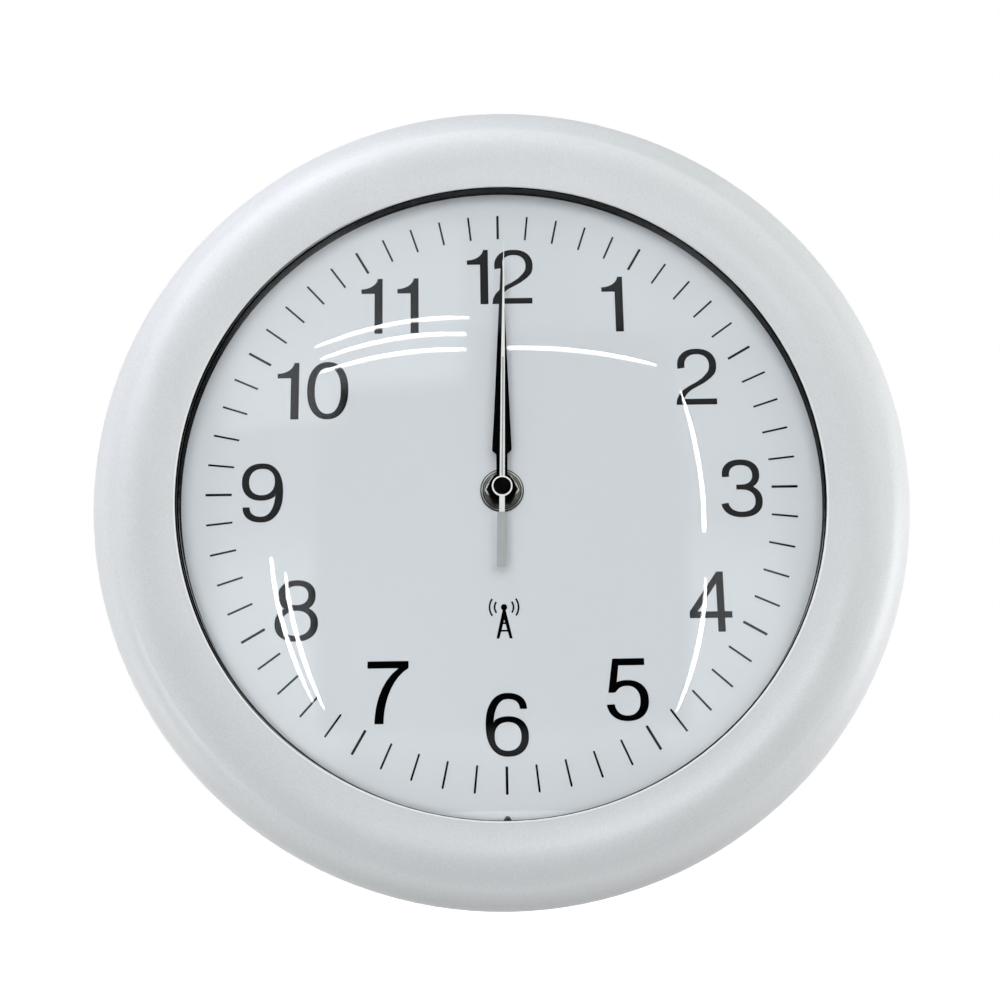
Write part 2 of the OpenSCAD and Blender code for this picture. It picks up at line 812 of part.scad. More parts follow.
module hex_nut() color([0.25, 0.25, 0.26]) upright() {
    difference() {
        intersection() {
            translate([0, 0, washer_top]) cylinder(r = nut_flats / 2 / cos(30), h = nut_t, $fn = 6);
            translate([0, 0, washer_top])
                cylinder(r1 = chamfer_r + nut_t + nut_round, r2 = chamfer_r, h = nut_t);
        }
        disc(thread_r + screw_gap, washer_top - cut, nut_top + cut);
    }
}

// Movement case
corner_posts = [for (x = [-1, 1], y = [case_top - case_t - post_inset, bay_bottom + post_inset])
    [x * (inner_w - post_inset), y]];

module movement_base() color(black) upright() {
    difference() {
        union() {
            difference() {
                round_slab(half_w, case_bottom, case_top, case_round, cover_in, case_front);
                round_slab(inner_w, case_bottom + case_t, case_top - case_t, inner_round,
                    cover_in - cut, floor_h);
            }
            slab([-inner_w - cut, inner_w + cut], [bay_top, partition_top], [cover_in, floor_h + cut]);
            for (x = [[plus_wall, plus_wall + end_wall_t], [minus_wall - end_wall_t, minus_wall]])
                slab(x, [bay_bottom - cut, bay_top + cut], [cover_in, floor_h + cut]);
            for (p = corner_posts) at(p) disc(post_r, cover_in, floor_h + cut, $fn = 48);
            disc(thread_r, case_front - cut, thread_top);
            for (p = pillars) at(p) disc(pillar_r, bridge_top, floor_h + cut, $fn = 32);
            for (y = [-arm_half, arm_half]) {
                at([post_a_x, rotor_a[1] + y])
                    disc(stator_post_r, stator_a_h + stator_t, floor_h + cut, $fn = 32);
                at([post_b_x, rotor_b[1] + y])
                    disc(stator_post_r, stator_b_h + stator_t, floor_h + cut, $fn = 32);
            }
            for (x = [-board_post_x, board_post_x], y = [board_screw_y, -board_drop + board_post_inset])
                at([x, y]) disc(stator_post_r, board_front, floor_h + cut, $fn = 32);
            for (x = [-cradle_x, cradle_x]) difference() {
                slab([x - cradle_w / 2, x + cradle_w / 2], [antenna_y - rod_r, antenna_y + rod_r],
                    [antenna_h, floor_h + cut]);
                translate([x - cradle_w, antenna_y, antenna_h]) rotate([0, 90, 0])
                    cylinder(r = rod_r + screw_gap, h = 2 * cradle_w, $fn = 64);
            }
            for (x = [-bay_rib_x, bay_rib_x]) difference() {
                slab([x - bay_rib_w / 2, x + bay_rib_w / 2], [bay_bottom - cut, bay_top + cut],
                    [cell_h + cell_r * 0.42, floor_h + cut]);
                translate([x - bay_rib_w, bay_y, cell_h]) rotate([0, 90, 0])
                    cylinder(r = cell_r + cradle_gap, h = 2 * bay_rib_w, $fn = 96);
            }
        }
        disc(boss_bore, floor_h - cut, thread_top + cut);
        for (p = [idler_a, rotor_a, slow_b, fast_b, rotor_b, motion_at])
            at(p) disc(pivot_r + run_gap, floor_h - cut, floor_h + pivot_depth, $fn = 32);
        for (p = corner_posts) at(p)
            disc(small_screw_r + screw_gap, cover_in - cut, cover_in + small_screw_l, $fn = 32);
        for (p = pillars) at(p)
            disc(small_screw_r + screw_gap, bridge_top - cut, bridge_top + short_screw_l, $fn = 32);
        for (x = [-board_post_x, board_post_x]) at([x, board_screw_y])
            disc(small_screw_r + screw_gap, board_front - cut, board_front + short_screw_l, $fn = 32);
        for (x = [plus_x, minus_wall])
            slab([x - tab_slot, x + contact_t + tab_slot], [bay_top - cut, partition_top + cut],
                [board_front - tab_slot, board_front + tab_gap + tab_w + tab_slot]);
    }
}

module movement_cover() color(black) upright() {
    difference() {
        union() {
            round_slab(half_w, case_bottom, case_top, case_round, case_rear, cover_in);
            for (x = [-hanger_screw_x, hanger_screw_x]) at([x, hanger_screw_y])
                disc(small_head_r + hanger_boss_t, cover_in - cut, cover_in + hanger_boss_l, $fn = 32);
        }
        slab([minus_wall, plus_wall], [bay_bottom, bay_top], [case_rear - cut, cover_in + cut]);
        for (i = [-1:1]) at([i * button_pitch, button_y])
            disc(button_r + button_hole_gap, case_rear - cut, cover_in + cut, $fn = 64);
        for (p = corner_posts) at(p)
            disc(small_screw_r + fixing_gap, case_rear - cut, cover_in + cut, $fn = 32);
        for (x = [-hanger_screw_x, hanger_screw_x]) at([x, hanger_screw_y])
            disc(small_screw_r + screw_gap, case_rear - cut, cover_in + hanger_boss_l + cut, $fn = 32);
    }
}

module cover_screws() color(steel) upright() {
    for (p = corner_posts) at(p)
        screw(small_screw_r, small_screw_l, small_head_r, small_head_t, case_rear, $fn = 32);
}

// Train bridge, which carries the rear pivots
module train_bridge() color(brass) upright() {
    difference() {
        slab([bridge_left, bridge_right], [bridge_low, bridge_high], [bridge_h, bridge_top]);
        disc(centre_pivot_r + run_gap, bridge_h - cut, bridge_top + cut, $fn = 32);
        for (p = [idler_a, rotor_a, slow_b, fast_b, rotor_b, motion_at])
            at(p) disc(pivot_r + run_gap, bridge_h - cut, bridge_top + cut, $fn = 32);
        for (p = pillars) at(p) disc(small_screw_r + fixing_gap, bridge_h - cut, bridge_top + cut, $fn = 32);
    }
}

module bridge_screws() color(steel) upright() {
    for (p = pillars) at(p)
        screw(small_screw_r, short_screw_l, small_head_r, short_head_t, bridge_h, $fn = 32);
}

// Circuit board
module circuit_board() color([0.1, 0.35, 0.2]) upright() {
    difference() {
        slab([-board_half_l, board_half_l], [-board_drop, board_top], [board_rear, board_front]);
        for (x = [-board_post_x, board_post_x]) at([x, board_screw_y])
            disc(small_screw_r + fixing_gap, board_rear - cut, board_front + cut, $fn = 32);
    }
}

module board_screws() color(steel) upright() {
    for (x = [-board_post_x, board_post_x]) at([x, board_screw_y])
        screw(small_screw_r, short_screw_l, small_head_r, short_head_t, board_rear, $fn = 32);
}

module controller_chip() color(black) upright() {
    at([-button_pitch / 2, button_y])
        slab([-chip_w / 2, chip_w / 2], [-chip_l / 2, chip_l / 2], [board_rear - chip_t, board_rear]);
}

module crystal_can() color(steel) upright() {
    translate([button_pitch / 2, button_y - crystal_l / 2, board_rear - crystal_r]) rotate([-90, 0, 0])
        cylinder(r = crystal_r, h = crystal_l, $fn = 48);
}

module push_switches() color(black) upright() {
    for (i = [-1:1]) at([i * button_pitch, button_y]) {
        slab([-switch_w / 2, switch_w / 2], [-switch_w / 2, switch_w / 2],
            [switch_top + plunger_l, board_rear]);
        disc(plunger_r, switch_top, switch_top + plunger_l + cut, $fn = 32);
    }
}

// Antenna
module antenna_rod() color([0.2, 0.2, 0.2]) upright() {
    translate([-rod_l / 2, antenna_y, antenna_h]) rotate([0, 90, 0]) cylinder(r = rod_r, h = rod_l, $fn = 64);
}

module antenna_coil() color([0.72, 0.4, 0.2]) upright() {
    translate([-antenna_coil_l / 2, antenna_y, antenna_h]) rotate([0, 90, 0]) difference() {
        cylinder(r = rod_r + coil_wall, h = antenna_coil_l, $fn = 64);
        translate([0, 0, -cut]) cylinder(r = rod_r + screw_gap, h = antenna_coil_l + 2 * cut, $fn = 64);
    }
}

// Stepping motors
module stator(centre, coil_x, h) {
    side = sign(coil_x);
    reach = abs(coil_x - centre[0]) + core_w / 2;
    at(centre) difference() {
        union() {
            slab([-stator_half_w, stator_half_w], [-arm_half - arm_w / 2, arm_half + arm_w / 2],
                [h, h + stator_t]);
            for (y = [-arm_half, arm_half]) slab([min(0, side * reach), max(0, side * reach)],
                [y - arm_w / 2, y + arm_w / 2], [h, h + stator_t]);
        }
        disc(magnet_r + magnet_gap, h - cut, h + stator_t + cut);
    }
}

module core(centre, coil_x, h) {
    slab([coil_x - core_w / 2, coil_x + core_w / 2],
        [centre[1] - arm_half - arm_w / 2, centre[1] + arm_half + arm_w / 2], [h - stator_t, h]);
}

module coil(centre, coil_x, h) {
    difference() {
        translate([coil_x, centre[1] + coil_l / 2, h - stator_t / 2]) rotate([90, 0, 0])
            cylinder(r = coil_r, h = coil_l, $fn = 64);
        slab([coil_x - core_w / 2 - coil_bore_gap, coil_x + core_w / 2 + coil_bore_gap],
            [centre[1] - coil_l, centre[1] + coil_l], [h - stator_t - coil_bore_gap, h + coil_bore_gap]);
    }
}

module seconds_stator() color(steel) upright() stator(rotor_a, coil_a_x, stator_a_h);
module seconds_core() color(steel) upright() core(rotor_a, coil_a_x, stator_a_h);
module seconds_coil() color([0.72, 0.4, 0.2]) upright() coil(rotor_a, coil_a_x, stator_a_h);
module minutes_stator() color(steel) upright() stator(rotor_b, coil_b_x, stator_b_h);
module minutes_core() color(steel) upright() core(rotor_b, coil_b_x, stator_b_h);
module minutes_coil() color([0.72, 0.4, 0.2]) upright() coil(rotor_b, coil_b_x, stator_b_h);

// Battery contacts, each with a tab that reaches the circuit board
module contact_plate(x) {
    slab([x, x + contact_t], [bay_y - contact_half_w, bay_y + contact_half_w], [contact_low, contact_high]);
    slab([x, x + contact_t], [bay_y, -board_drop + tab_lap],
        [board_front + tab_gap, board_front + tab_gap + tab_w]);
}

module plus_contact() color(steel) upright() contact_plate(plus_x);

module minus_contact() color(steel) upright() {
    foot = minus_wall + contact_t - cut;
    contact_plate(minus_wall);
    tip = minus_x - contact_t;
    translate([0, bay_y, contact_low + bow_inset])
        linear_extrude(contact_high - contact_low - 2 * bow_inset)
            polygon([[foot, -contact_half_w], [minus_x, -bow_tip], [minus_x, bow_tip],
                [foot, contact_half_w], [foot, contact_half_w - bow_metal], [tip, bow_tip * 0.4],
                [tip, -bow_tip * 0.4], [foot, -contact_half_w + bow_metal]]);
}

// Hanger
module hanger() color(steel) upright() {
    slot_end = key_y + slot_l - slot_w / 2;
    difference() {
        translate([0, 0, hanger_rear]) linear_extrude(hanger_t) union() {
            translate([-hanger_w / 2, hanger_low]) square([hanger_w, key_y - hanger_low]);
            translate([0, key_y]) circle(hanger_w / 2);
        }
        at([0, key_y]) disc(key_r, hanger_rear - cut, case_rear + cut);
        slab([-slot_w / 2, slot_w / 2], [key_y, slot_end], [hanger_rear - cut, case_rear + cut]);
        at([0, slot_end]) disc(slot_w / 2, hanger_rear - cut, case_rear + cut);
        for (x = [-hanger_screw_x, hanger_screw_x]) at([x, hanger_screw_y])
            disc(small_screw_r + fixing_gap, hanger_rear - cut, case_rear + cut, $fn = 32);
    }
}

module hanger_screws() color(steel) upright() {
    for (x = [-hanger_screw_x, hanger_screw_x]) at([x, hanger_screw_y])
        screw(small_screw_r, hanger_t + cover_t + hanger_boss_l - 2 * cut, small_head_r, small_head_t,
            hanger_rear, $fn = 32);
}

// Hands
module blade(length, low) {
    difference() {
        union() {
            disc(eye_r, low, low + hand_t);
            translate([0, 0, low]) linear_extrude(hand_t)
                polygon([[-neck_w / 2, bush_neck_r + step_gap], [-neck_w / 2, neck_l],
                    [-blade_w / 2, neck_l + shoulder_l], [-tip_w / 2, length], [tip_w / 2, length],
                    [blade_w / 2, neck_l + shoulder_l], [neck_w / 2, neck_l],
                    [neck_w / 2, bush_neck_r + step_gap]]);
        }
        disc(bush_neck_r + bush_gap, low - cut, low + hand_t + cut);
    }
}

module bush(bore, low) {
    difference() {
        union() {
            disc(bush_flange_r, low, low + flange_h);
            disc(bush_neck_r, low, low + bush_h);
        }
        disc(bore + bush_gap, low - cut, low + bush_h + cut);
    }
}

module hour_hand() color(black) upright() blade(hour_l, hour_bush_h + flange_h);
module hour_bush() color(brass) upright() bush(hour_out, hour_bush_h);

module minute_hand() color(black) upright()
    rotate([0, 0, -minute_lean]) blade(minute_l, minute_bush_h + flange_h);
module minute_bush() color(brass) upright() bush(minute_out, minute_bush_h);

module second_hand() color(silver) upright() rotate([0, 0, -second_lean]) {
    groove = second_w * 0.24;
    groove_end = second_l * 0.5;
    start = hub_r - hub_lap;
    difference() {
        union() {
            disc(hub_r, second_h, second_top);
            translate([0, 0, second_h]) linear_extrude(second_t)
                polygon([[-second_w / 2, start], [-second_w * 0.36, second_l * 0.55],
                    [-second_tip_w / 2, second_l], [second_tip_w / 2, second_l],
                    [second_w * 0.36, second_l * 0.55], [second_w / 2, start]]);
            translate([0, 0, second_h]) linear_extrude(second_t)
                polygon([[tail_neck, -start], [tail_neck, -paddle_start],
                    [paddle_w / 2, -paddle_start - step_gap], [paddle_w / 2, -tail_l],
                    [-paddle_w / 2, -tail_l], [-paddle_w / 2, -paddle_start - step_gap],
                    [-tail_neck, -paddle_start], [-tail_neck, -start]]);
        }
        disc(cap_r + bush_gap, second_h + second_t, second_top + cut);
        disc(arbor_r + bush_gap, second_h - cut, second_top, $fn = 32);
        slab([-groove / 2, groove / 2], [hub_r + step_gap, groove_end],
            [second_h + second_t * 0.6, second_top]);
    }
}

module second_cap() color(black) upright() {
    disc(cap_r, second_h + second_t, second_h + second_t + cap_t);
}

// Seconds train
module seconds_wheel() color(brass) upright() {
    gear(hand_module, hand_teeth, idler_a_dir, seconds_layer - wheel_t, seconds_layer);
    disc(arbor_r + pipe_t, seconds_layer - wheel_t - hub_lap, seconds_layer + hub_lap);
    disc(arbor_r, bridge_top + shoulder_gap, second_h + second_t);
    disc(centre_pivot_r, bridge_h + shoulder_gap, bridge_top + 2 * shoulder_gap, $fn = 32);
}

module seconds_idler() color(white) upright() at(idler_a) {
    gear(fast_module, fast_teeth, rotor_a_dir, idler_layer - wheel_t, idler_layer);
    gear_gap(hand_module, hand_pinion, idler_a_dir + 180, seconds_layer - wheel_t - pinion_lap,
        idler_layer - wheel_t);
    arbor(bridge_top + shoulder_gap, floor_h - shoulder_gap, $fn = 32);
}

module seconds_rotor() color(white) upright() at(rotor_a) {
    magnet_top = seconds_layer - shoulder_gap;
    gear_gap(fast_module, fast_pinion, rotor_a_dir + 180, magnet_top, idler_layer + pinion_lap);
    disc(magnet_r, magnet_top - magnet_l, magnet_top);
    arbor(bridge_top + shoulder_gap, floor_h - shoulder_gap, $fn = 32);
}

// Minutes train
module minute_wheel() color(brass) upright() {
    difference() {
        union() {
            gear(hand_module, hand_teeth, idler_b_dir, minute_layer - wheel_t, minute_layer);
            gear(motion_module, motion_pinion, motion_dir, minute_layer, motion_layer + pinion_lap);
            disc(minute_out, minute_layer - wheel_t - pipe_lap, minute_top);
        }
        disc(minute_in, minute_layer - 2 * wheel_t, minute_top + cut);
    }
}

module minutes_idler_slow() color(white) upright() at(slow_b) {
    gear(fast_module, slow_teeth, fast_b_dir, idler_layer - wheel_t, idler_layer);
    gear_gap(hand_module, hand_pinion, idler_b_dir + 180, idler_layer, minute_layer + pinion_lap);
    arbor(bridge_top + shoulder_gap, floor_h - shoulder_gap, $fn = 32);
}

module minutes_idler_fast() color(white) upright() at(fast_b) {
    gear(fast_module, fast_teeth, rotor_b_dir, seconds_layer - wheel_t, seconds_layer);
    gear_gap(fast_module, fast_pinion, fast_b_dir + 180, seconds_layer, idler_layer + pinion_lap);
    arbor(bridge_top + shoulder_gap, floor_h - shoulder_gap, $fn = 32);
}

module minutes_rotor() color(white) upright() at(rotor_b) {
    magnet_low = seconds_layer + magnet_lift;
    gear_gap(fast_module, fast_pinion, rotor_b_dir + 180, seconds_layer - wheel_t - pinion_lap, magnet_low);
    disc(magnet_r, magnet_low, magnet_low + magnet_l);
    arbor(bridge_top + shoulder_gap, floor_h - shoulder_gap, $fn = 32);
}

module motion_wheel() color(white) upright() at(motion_at) {
    gear_gap(motion_module, motion_teeth, motion_dir + 180, motion_layer - wheel_t, motion_layer);
    gear(hour_module, hour_pinion, motion_dir + 180, motion_layer, hour_layer + pinion_lap);
    arbor(bridge_top + shoulder_gap, floor_h - shoulder_gap, $fn = 32);
}

module hour_wheel() color(brass) upright() {
    difference() {
        union() {
            gear_gap(hour_module, hour_teeth, motion_dir, hour_layer - wheel_t, hour_layer);
            disc(hour_out, hour_layer - wheel_t, hour_top);
        }
        disc(hour_in, hour_layer - 2 * wheel_t, hour_top + cut);
    }
}

// Battery
module battery_cell() color([0.1, 0.25, 0.35]) upright() {
    body_l = cell_l - terminal_l;
    translate([-cell_l / 2, bay_y, cell_h]) rotate([0, 90, 0]) rotate_extrude()
        polygon([[0, 0], [cell_r - foot_round, 0], [cell_r, foot_round], [cell_r, body_l - top_round],
            [cell_r - top_round, body_l], [0, body_l]]);
}

module battery_terminal() color(steel) upright() {
    translate([cell_l / 2 - terminal_l, bay_y, cell_h]) rotate([0, 90, 0])
        cylinder(r = terminal_r, h = terminal_l, $fn = 64);
}

// Push buttons
module button(i) at([i * button_pitch, button_y]) {
    disc(button_r, case_rear - button_proud, cover_in + flange_gap, $fn = 64);
    disc(button_r + flange_over, cover_in + flange_gap, cover_in + flange_gap + flange_t, $fn = 64);
}

module set_button() color(steel) upright() button(-1);
module receive_button() color(steel) upright() button(0);
module reset_button() color([0.6, 0.1, 0.1]) upright() button(1);

rim();
lens();
lens_gasket();
spacer_ring();
dial();
minute_marks();
numerals();
radio_symbol();
back_plate();
back_screws();
rubber_washer();
dial_washer();
hex_nut();
movement_base();
movement_cover();
cover_screws();
train_bridge();
bridge_screws();
circuit_board();
board_screws();
controller_chip();
crystal_can();
push_switches();
antenna_rod();
antenna_coil();
seconds_stator();
seconds_core();
seconds_coil();
minutes_stator();
minutes_core();
minutes_coil();
plus_contact();
minus_contact();
hanger();
hanger_screws();
second_hand();
second_cap();
seconds_wheel();
seconds_idler();
seconds_rotor();
minute_hand();
minute_bush();
minute_wheel();
minutes_idler_fast();
minutes_idler_slow();
minutes_rotor();
motion_wheel();
hour_hand();
hour_bush();
hour_wheel();
battery_cell();
battery_terminal();
set_button();
receive_button();
reset_button();
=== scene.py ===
"""A radio-controlled wall clock: finishes for its parts, moulded marks on its rear and a plain studio.

Across is x and up is z. The wall face is at y = 0, and heights above the wall run towards -y.
"""

import logging
import math
from dataclasses import dataclass
from enum import Enum
from typing import Mapping, Optional, Sequence, Union

import bmesh
import bpy
from mathutils import Matrix, Vector


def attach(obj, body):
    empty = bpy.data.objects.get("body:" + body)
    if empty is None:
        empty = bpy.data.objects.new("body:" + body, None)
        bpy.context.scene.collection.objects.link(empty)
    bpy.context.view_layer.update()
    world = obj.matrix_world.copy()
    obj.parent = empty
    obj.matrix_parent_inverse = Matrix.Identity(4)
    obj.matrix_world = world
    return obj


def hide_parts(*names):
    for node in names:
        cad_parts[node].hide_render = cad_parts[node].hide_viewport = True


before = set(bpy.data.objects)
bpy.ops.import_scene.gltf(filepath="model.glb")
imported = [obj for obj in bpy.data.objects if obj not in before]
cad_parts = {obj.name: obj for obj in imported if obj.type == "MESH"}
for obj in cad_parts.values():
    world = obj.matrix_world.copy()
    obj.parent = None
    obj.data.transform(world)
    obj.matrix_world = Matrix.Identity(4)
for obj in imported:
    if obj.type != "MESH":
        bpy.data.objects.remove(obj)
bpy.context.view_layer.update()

LOG = logging.getLogger("wall_clock")

Colour = tuple[float, float, float]
Point = tuple[float, float, float]
Pair = tuple[float, float]
Value = Union["Sock", float, Sequence[float]]

MM = 0.001
ARC_STEPS = 14
CORNERS: tuple[Pair, ...] = ((-1, -1), (1, -1), (1, 1), (-1, 1))
WHITE: Colour = (1.0, 1.0, 1.0)
BLACK: Colour = (0.0, 0.0, 0.0)


class Axis(Enum):
    """A direction of the clock: across it, out of the wall, or up it."""

    ACROSS = 0
    DEEP = 1
    UP = 2


class Lit(Enum):
    """What a lamp lights."""

    RIM = "INCLUDE"
    ALL_BUT_RIM = "EXCLUDE"


class Sock:
    """A socket of a material, with shader maths written as an expression."""

    def __init__(self, shade: "Shade", socket: bpy.types.NodeSocket) -> None:
        """Wraps one output socket of that shade."""
        self.shade = shade
        self.socket = socket

    def maths(self, operation: str, *values: Value) -> "Sock":
        """Adds a Math node.

        Args:
            operation: the node's operation.
            values: its inputs in order, sockets or numbers.
        Returns:
            The node's result.
        """
        return self.shade.node("ShaderNodeMath", {"operation": operation}, dict(enumerate(values)))

    def __add__(self, other: Value) -> "Sock":
        """Sum."""
        return self.maths("ADD", self, other)

    __radd__ = __add__

    def __sub__(self, other: Value) -> "Sock":
        """Difference."""
        return self.maths("SUBTRACT", self, other)

    def __rsub__(self, other: Value) -> "Sock":
        """Difference from a number."""
        return self.maths("SUBTRACT", other, self)

    def __mul__(self, other: Value) -> "Sock":
        """Product."""
        return self.maths("MULTIPLY", self, other)

    __rmul__ = __mul__

    def __truediv__(self, other: Value) -> "Sock":
        """Quotient."""
        return self.maths("DIVIDE", self, other)

    def __pow__(self, other: Value) -> "Sock":
        """Power."""
        return self.maths("POWER", self, other)

    def __gt__(self, other: Value) -> "Sock":
        """One where this is the greater, else nought."""
        return self.maths("GREATER_THAN", self, other)

    def __lt__(self, other: Value) -> "Sock":
        """One where this is the less, else nought."""
        return self.maths("LESS_THAN", self, other)

    def __abs__(self) -> "Sock":
        """Size without sign."""
        return self.maths("ABSOLUTE", self)

    def larger(self, other: Value) -> "Sock":
        """The larger of the two."""
        return self.maths("MAXIMUM", self, other)

    def smaller(self, other: Value) -> "Sock":
        """The smaller of the two."""
        return self.maths("MINIMUM", self, other)

    def fraction(self) -> "Sock":
        """What is left over whole numbers."""
        return self.maths("FRACT", self)

    def step(self, start: float, end: float) -> "Sock":
        """A smooth step.

        Args:
            start: where it is nought.
            end: where it is one; it may be below start.
        Returns:
            The step's socket.
        """
        return self.shade.node("ShaderNodeMapRange", {"interpolation_type": "SMOOTHSTEP"},
                               {"Value": self, "From Min": start, "From Max": end})


class Shade:
    """One material or world, built node by node."""

    def __init__(self, owner: Union[bpy.types.Material, bpy.types.World]) -> None:
        """Clears the nodes, to build them anew.

        Args:
            owner: the material or the world.
        """
        owner.use_nodes = True
        self.owner = owner
        self.tree = owner.node_tree
        self.tree.nodes.clear()

    def node(self, kind: str, settings: Optional[Mapping[str, object]] = None,
             sockets: Optional[Mapping[Union[str, int], Value]] = None, out: Union[str, int] = 0) -> Sock:
        """Adds a node.

        Args:
            kind: the node's type.
            settings: its settings, set first.
            sockets: values or links by the socket's name or place.
            out: the output wanted, by name or place.
        Returns:
            That output's socket.
        """
        made = self.tree.nodes.new(kind)
        for name, value in (settings or {}).items():
            setattr(made, name, value)
        for name, value in (sockets or {}).items():
            if isinstance(value, Sock):
                self.tree.links.new(value.socket, made.inputs[name])
            else:
                made.inputs[name].default_value = value
        return Sock(self, made.outputs[out])

    def place(self) -> Sock:
        """The point on the clock, in millimetres from the middle of its wall face."""
        metres = self.node("ShaderNodeTexCoord", out="Object")
        return self.node("ShaderNodeVectorMath", {"operation": "SCALE"}, {0: metres, "Scale": 1 / MM})

    def along(self, place: Sock, axis: Axis) -> Sock:
        """One coordinate of a point."""
        return self.node("ShaderNodeSeparateXYZ", sockets={0: place}, out=axis.value)

    def stretched(self, place: Sock, by: Sequence[float]) -> Sock:
        """The point with each coordinate multiplied by a number of its own."""
        return self.node("ShaderNodeVectorMath", {"operation": "MULTIPLY"}, {0: place, 1: by})

    def noise(self, place: Sock, per_mm: float, detail: float = 2.0) -> Sock:
        """Soft noise.

        Args:
            place: the point it is read at, in millimetres.
            per_mm: lumps to a millimetre.
            detail: how many finer layers it has.
        Returns:
            Its height, about a half on average.
        """
        return self.node("ShaderNodeTexNoise", sockets={"Vector": place, "Scale": per_mm, "Detail": detail})

    def from_axis(self, place: Sock) -> Sock:
        """A point's distance from the clock's axis."""
        across, up = self.along(place, Axis.ACROSS), self.along(place, Axis.UP)
        return (across * across + up * up) ** 0.5

    def full(self, colour: Value) -> Value:
        """A colour as a socket takes it: a link, or four numbers."""
        return colour if isinstance(colour, Sock) else (*colour, 1.0)

    def mix(self, mask: Value, low: Value, high: Value) -> Sock:
        """Two colours mixed.

        Args:
            mask: nought gives low and one gives high.
            low: a colour.
            high: a colour.
        Returns:
            The mixed colour.
        """
        return self.node("ShaderNodeMix", {"data_type": "RGBA"},
                         {0: mask, 6: self.full(low), 7: self.full(high)}, out=2)

    def toned(self, base: Colour, grain: Sock, spread: float) -> Sock:
        """A colour a little darker and lighter with the grain.

        Args:
            base: the colour in the middle.
            grain: noise, about a half on average.
            spread: how far it goes either way, as a share.
        Returns:
            The colour's socket.
        """
        low = tuple(c * (1 - spread) for c in base)
        high = tuple(min(1.0, c * (1 + spread)) for c in base)
        return self.mix(grain.step(0.3, 0.7), low, high)

    def surface(self, sockets: Mapping[str, Value], height: Optional[Sock] = None,
                depth: float = 0.0) -> Sock:
        """Adds a Principled surface.

        Args:
            sockets: its values and links by name.
            height: what the bump follows.
            depth: how far the bump rises from nought to one, in millimetres.
        Returns:
            The shader's socket.
        """
        filled = dict(sockets)
        if height is not None:
            filled["Normal"] = self.node("ShaderNodeBump", sockets={
                "Strength": 1.0, "Distance": depth * MM, "Height": height})
        return self.node("ShaderNodeBsdfPrincipled", sockets=filled)

    def glow(self, colour: Value, strength: float = 1.0) -> Sock:
        """Light given off, of one colour or of a colour that varies."""
        return self.node("ShaderNodeEmission", sockets={"Color": self.full(colour), "Strength": strength})

    def over_clear(self, mask: Sock, shader: Sock) -> Sock:
        """The shader where the mask is one, and nothing at all where it is nought."""
        clear = self.node("ShaderNodeBsdfTransparent")
        return self.node("ShaderNodeMixShader", sockets={0: mask, 1: clear, 2: shader})

    def ray(self, kind: str) -> Sock:
        """One for rays of that kind, else nought."""
        return self.node("ShaderNodeLightPath", out=f"Is {kind} Ray")

    def end(self, shader: Sock, kind: str = "ShaderNodeOutputMaterial") -> None:
        """Joins a shader to the output."""
        made = self.tree.nodes.new(kind)
        self.tree.links.new(shader.socket, made.inputs["Surface"])


@dataclass(frozen=True)
class Finish:
    """What a piece's surface is: a name, and a build method that fills in its material."""

    name: str

    def build(self, shade: Shade) -> None:
        """Fills in the material; each kind of finish has its own."""
        raise NotImplementedError

    def material(self) -> bpy.types.Material:
        """The finish's material, made the first time it is asked for.

        Returns:
            The material.
        """
        title = "finish_" + self.name
        made = bpy.data.materials.get(title)
        if made is None:
            made = bpy.data.materials.new(title)
            self.build(Shade(made))
        return made


@dataclass(frozen=True)
class SatinLacquer(Finish):
    """Silver lacquer with fine metal flakes over moulded plastic."""

    base: Colour = (0.66, 0.68, 0.70)
    # Colour of the painted highlight along the lip's lower half.
    bright: Colour = (0.88, 0.89, 0.90)
    metallic: float = 0.2
    roughness: float = 0.42
    # Colour of the painted shade, nearly black, along the lip's inner edge on the left.
    painted_gap_shade: Colour = (0.004, 0.004, 0.004)
    lip: float = 119.7
    # Where the painted lip highlight starts and is full, inward from the lip and going down.
    lip_highlight_inward: Pair = (0.65, 0.3)
    lip_highlight_up: Pair = (100.0, -40.0)
    # Width, left-hand extent and softness of that painted shade.
    painted_gap_width: float = 0.48
    painted_gap_across: Pair = (-20.0, -110.0)
    painted_gap_soft: float = 0.1

    def build(self, shade: Shade) -> None:
        """Flakes, a slow drift of the spray, a painted highlight along the lower half of the lip, and painted
        shade along the lip's inner edge on its left.

        Args:
            shade: the material to fill in.
        """
        place = shade.place()
        flake = shade.noise(place, per_mm=1.6, detail=3)
        drift = shade.noise(place, per_mm=0.03, detail=1)
        up = shade.along(place, Axis.UP)
        left = shade.along(place, Axis.ACROSS).step(*self.painted_gap_across)
        inward = shade.from_axis(place) - self.lip - self.painted_gap_width * left
        # Painted highlight: the lip's inner edge made brighter along its lower half, where light falls on it.
        painted_lip_highlight = inward.step(*self.lip_highlight_inward) * up.step(*self.lip_highlight_up)
        # Painted shade: the lip's innermost edge on the left made black and mirror-like, widening the dark
        # gap under the lip.
        painted_gap_shade = inward.step(self.painted_gap_soft, -self.painted_gap_soft) * left
        sprayed = shade.toned(self.base, flake * 0.8 + drift * 0.2, spread=0.045)
        shade.end(shade.surface(
            {"Base Color": shade.mix(painted_gap_shade, shade.mix(painted_lip_highlight, sprayed, self.bright), self.painted_gap_shade),
             "Metallic": painted_gap_shade.larger(self.metallic),
             "Roughness": self.roughness - 0.04 + 0.08 * flake,
             "Coat Weight": 0.12 * (1 - painted_gap_shade), "Coat Roughness": 0.25}, height=flake, depth=0.004))


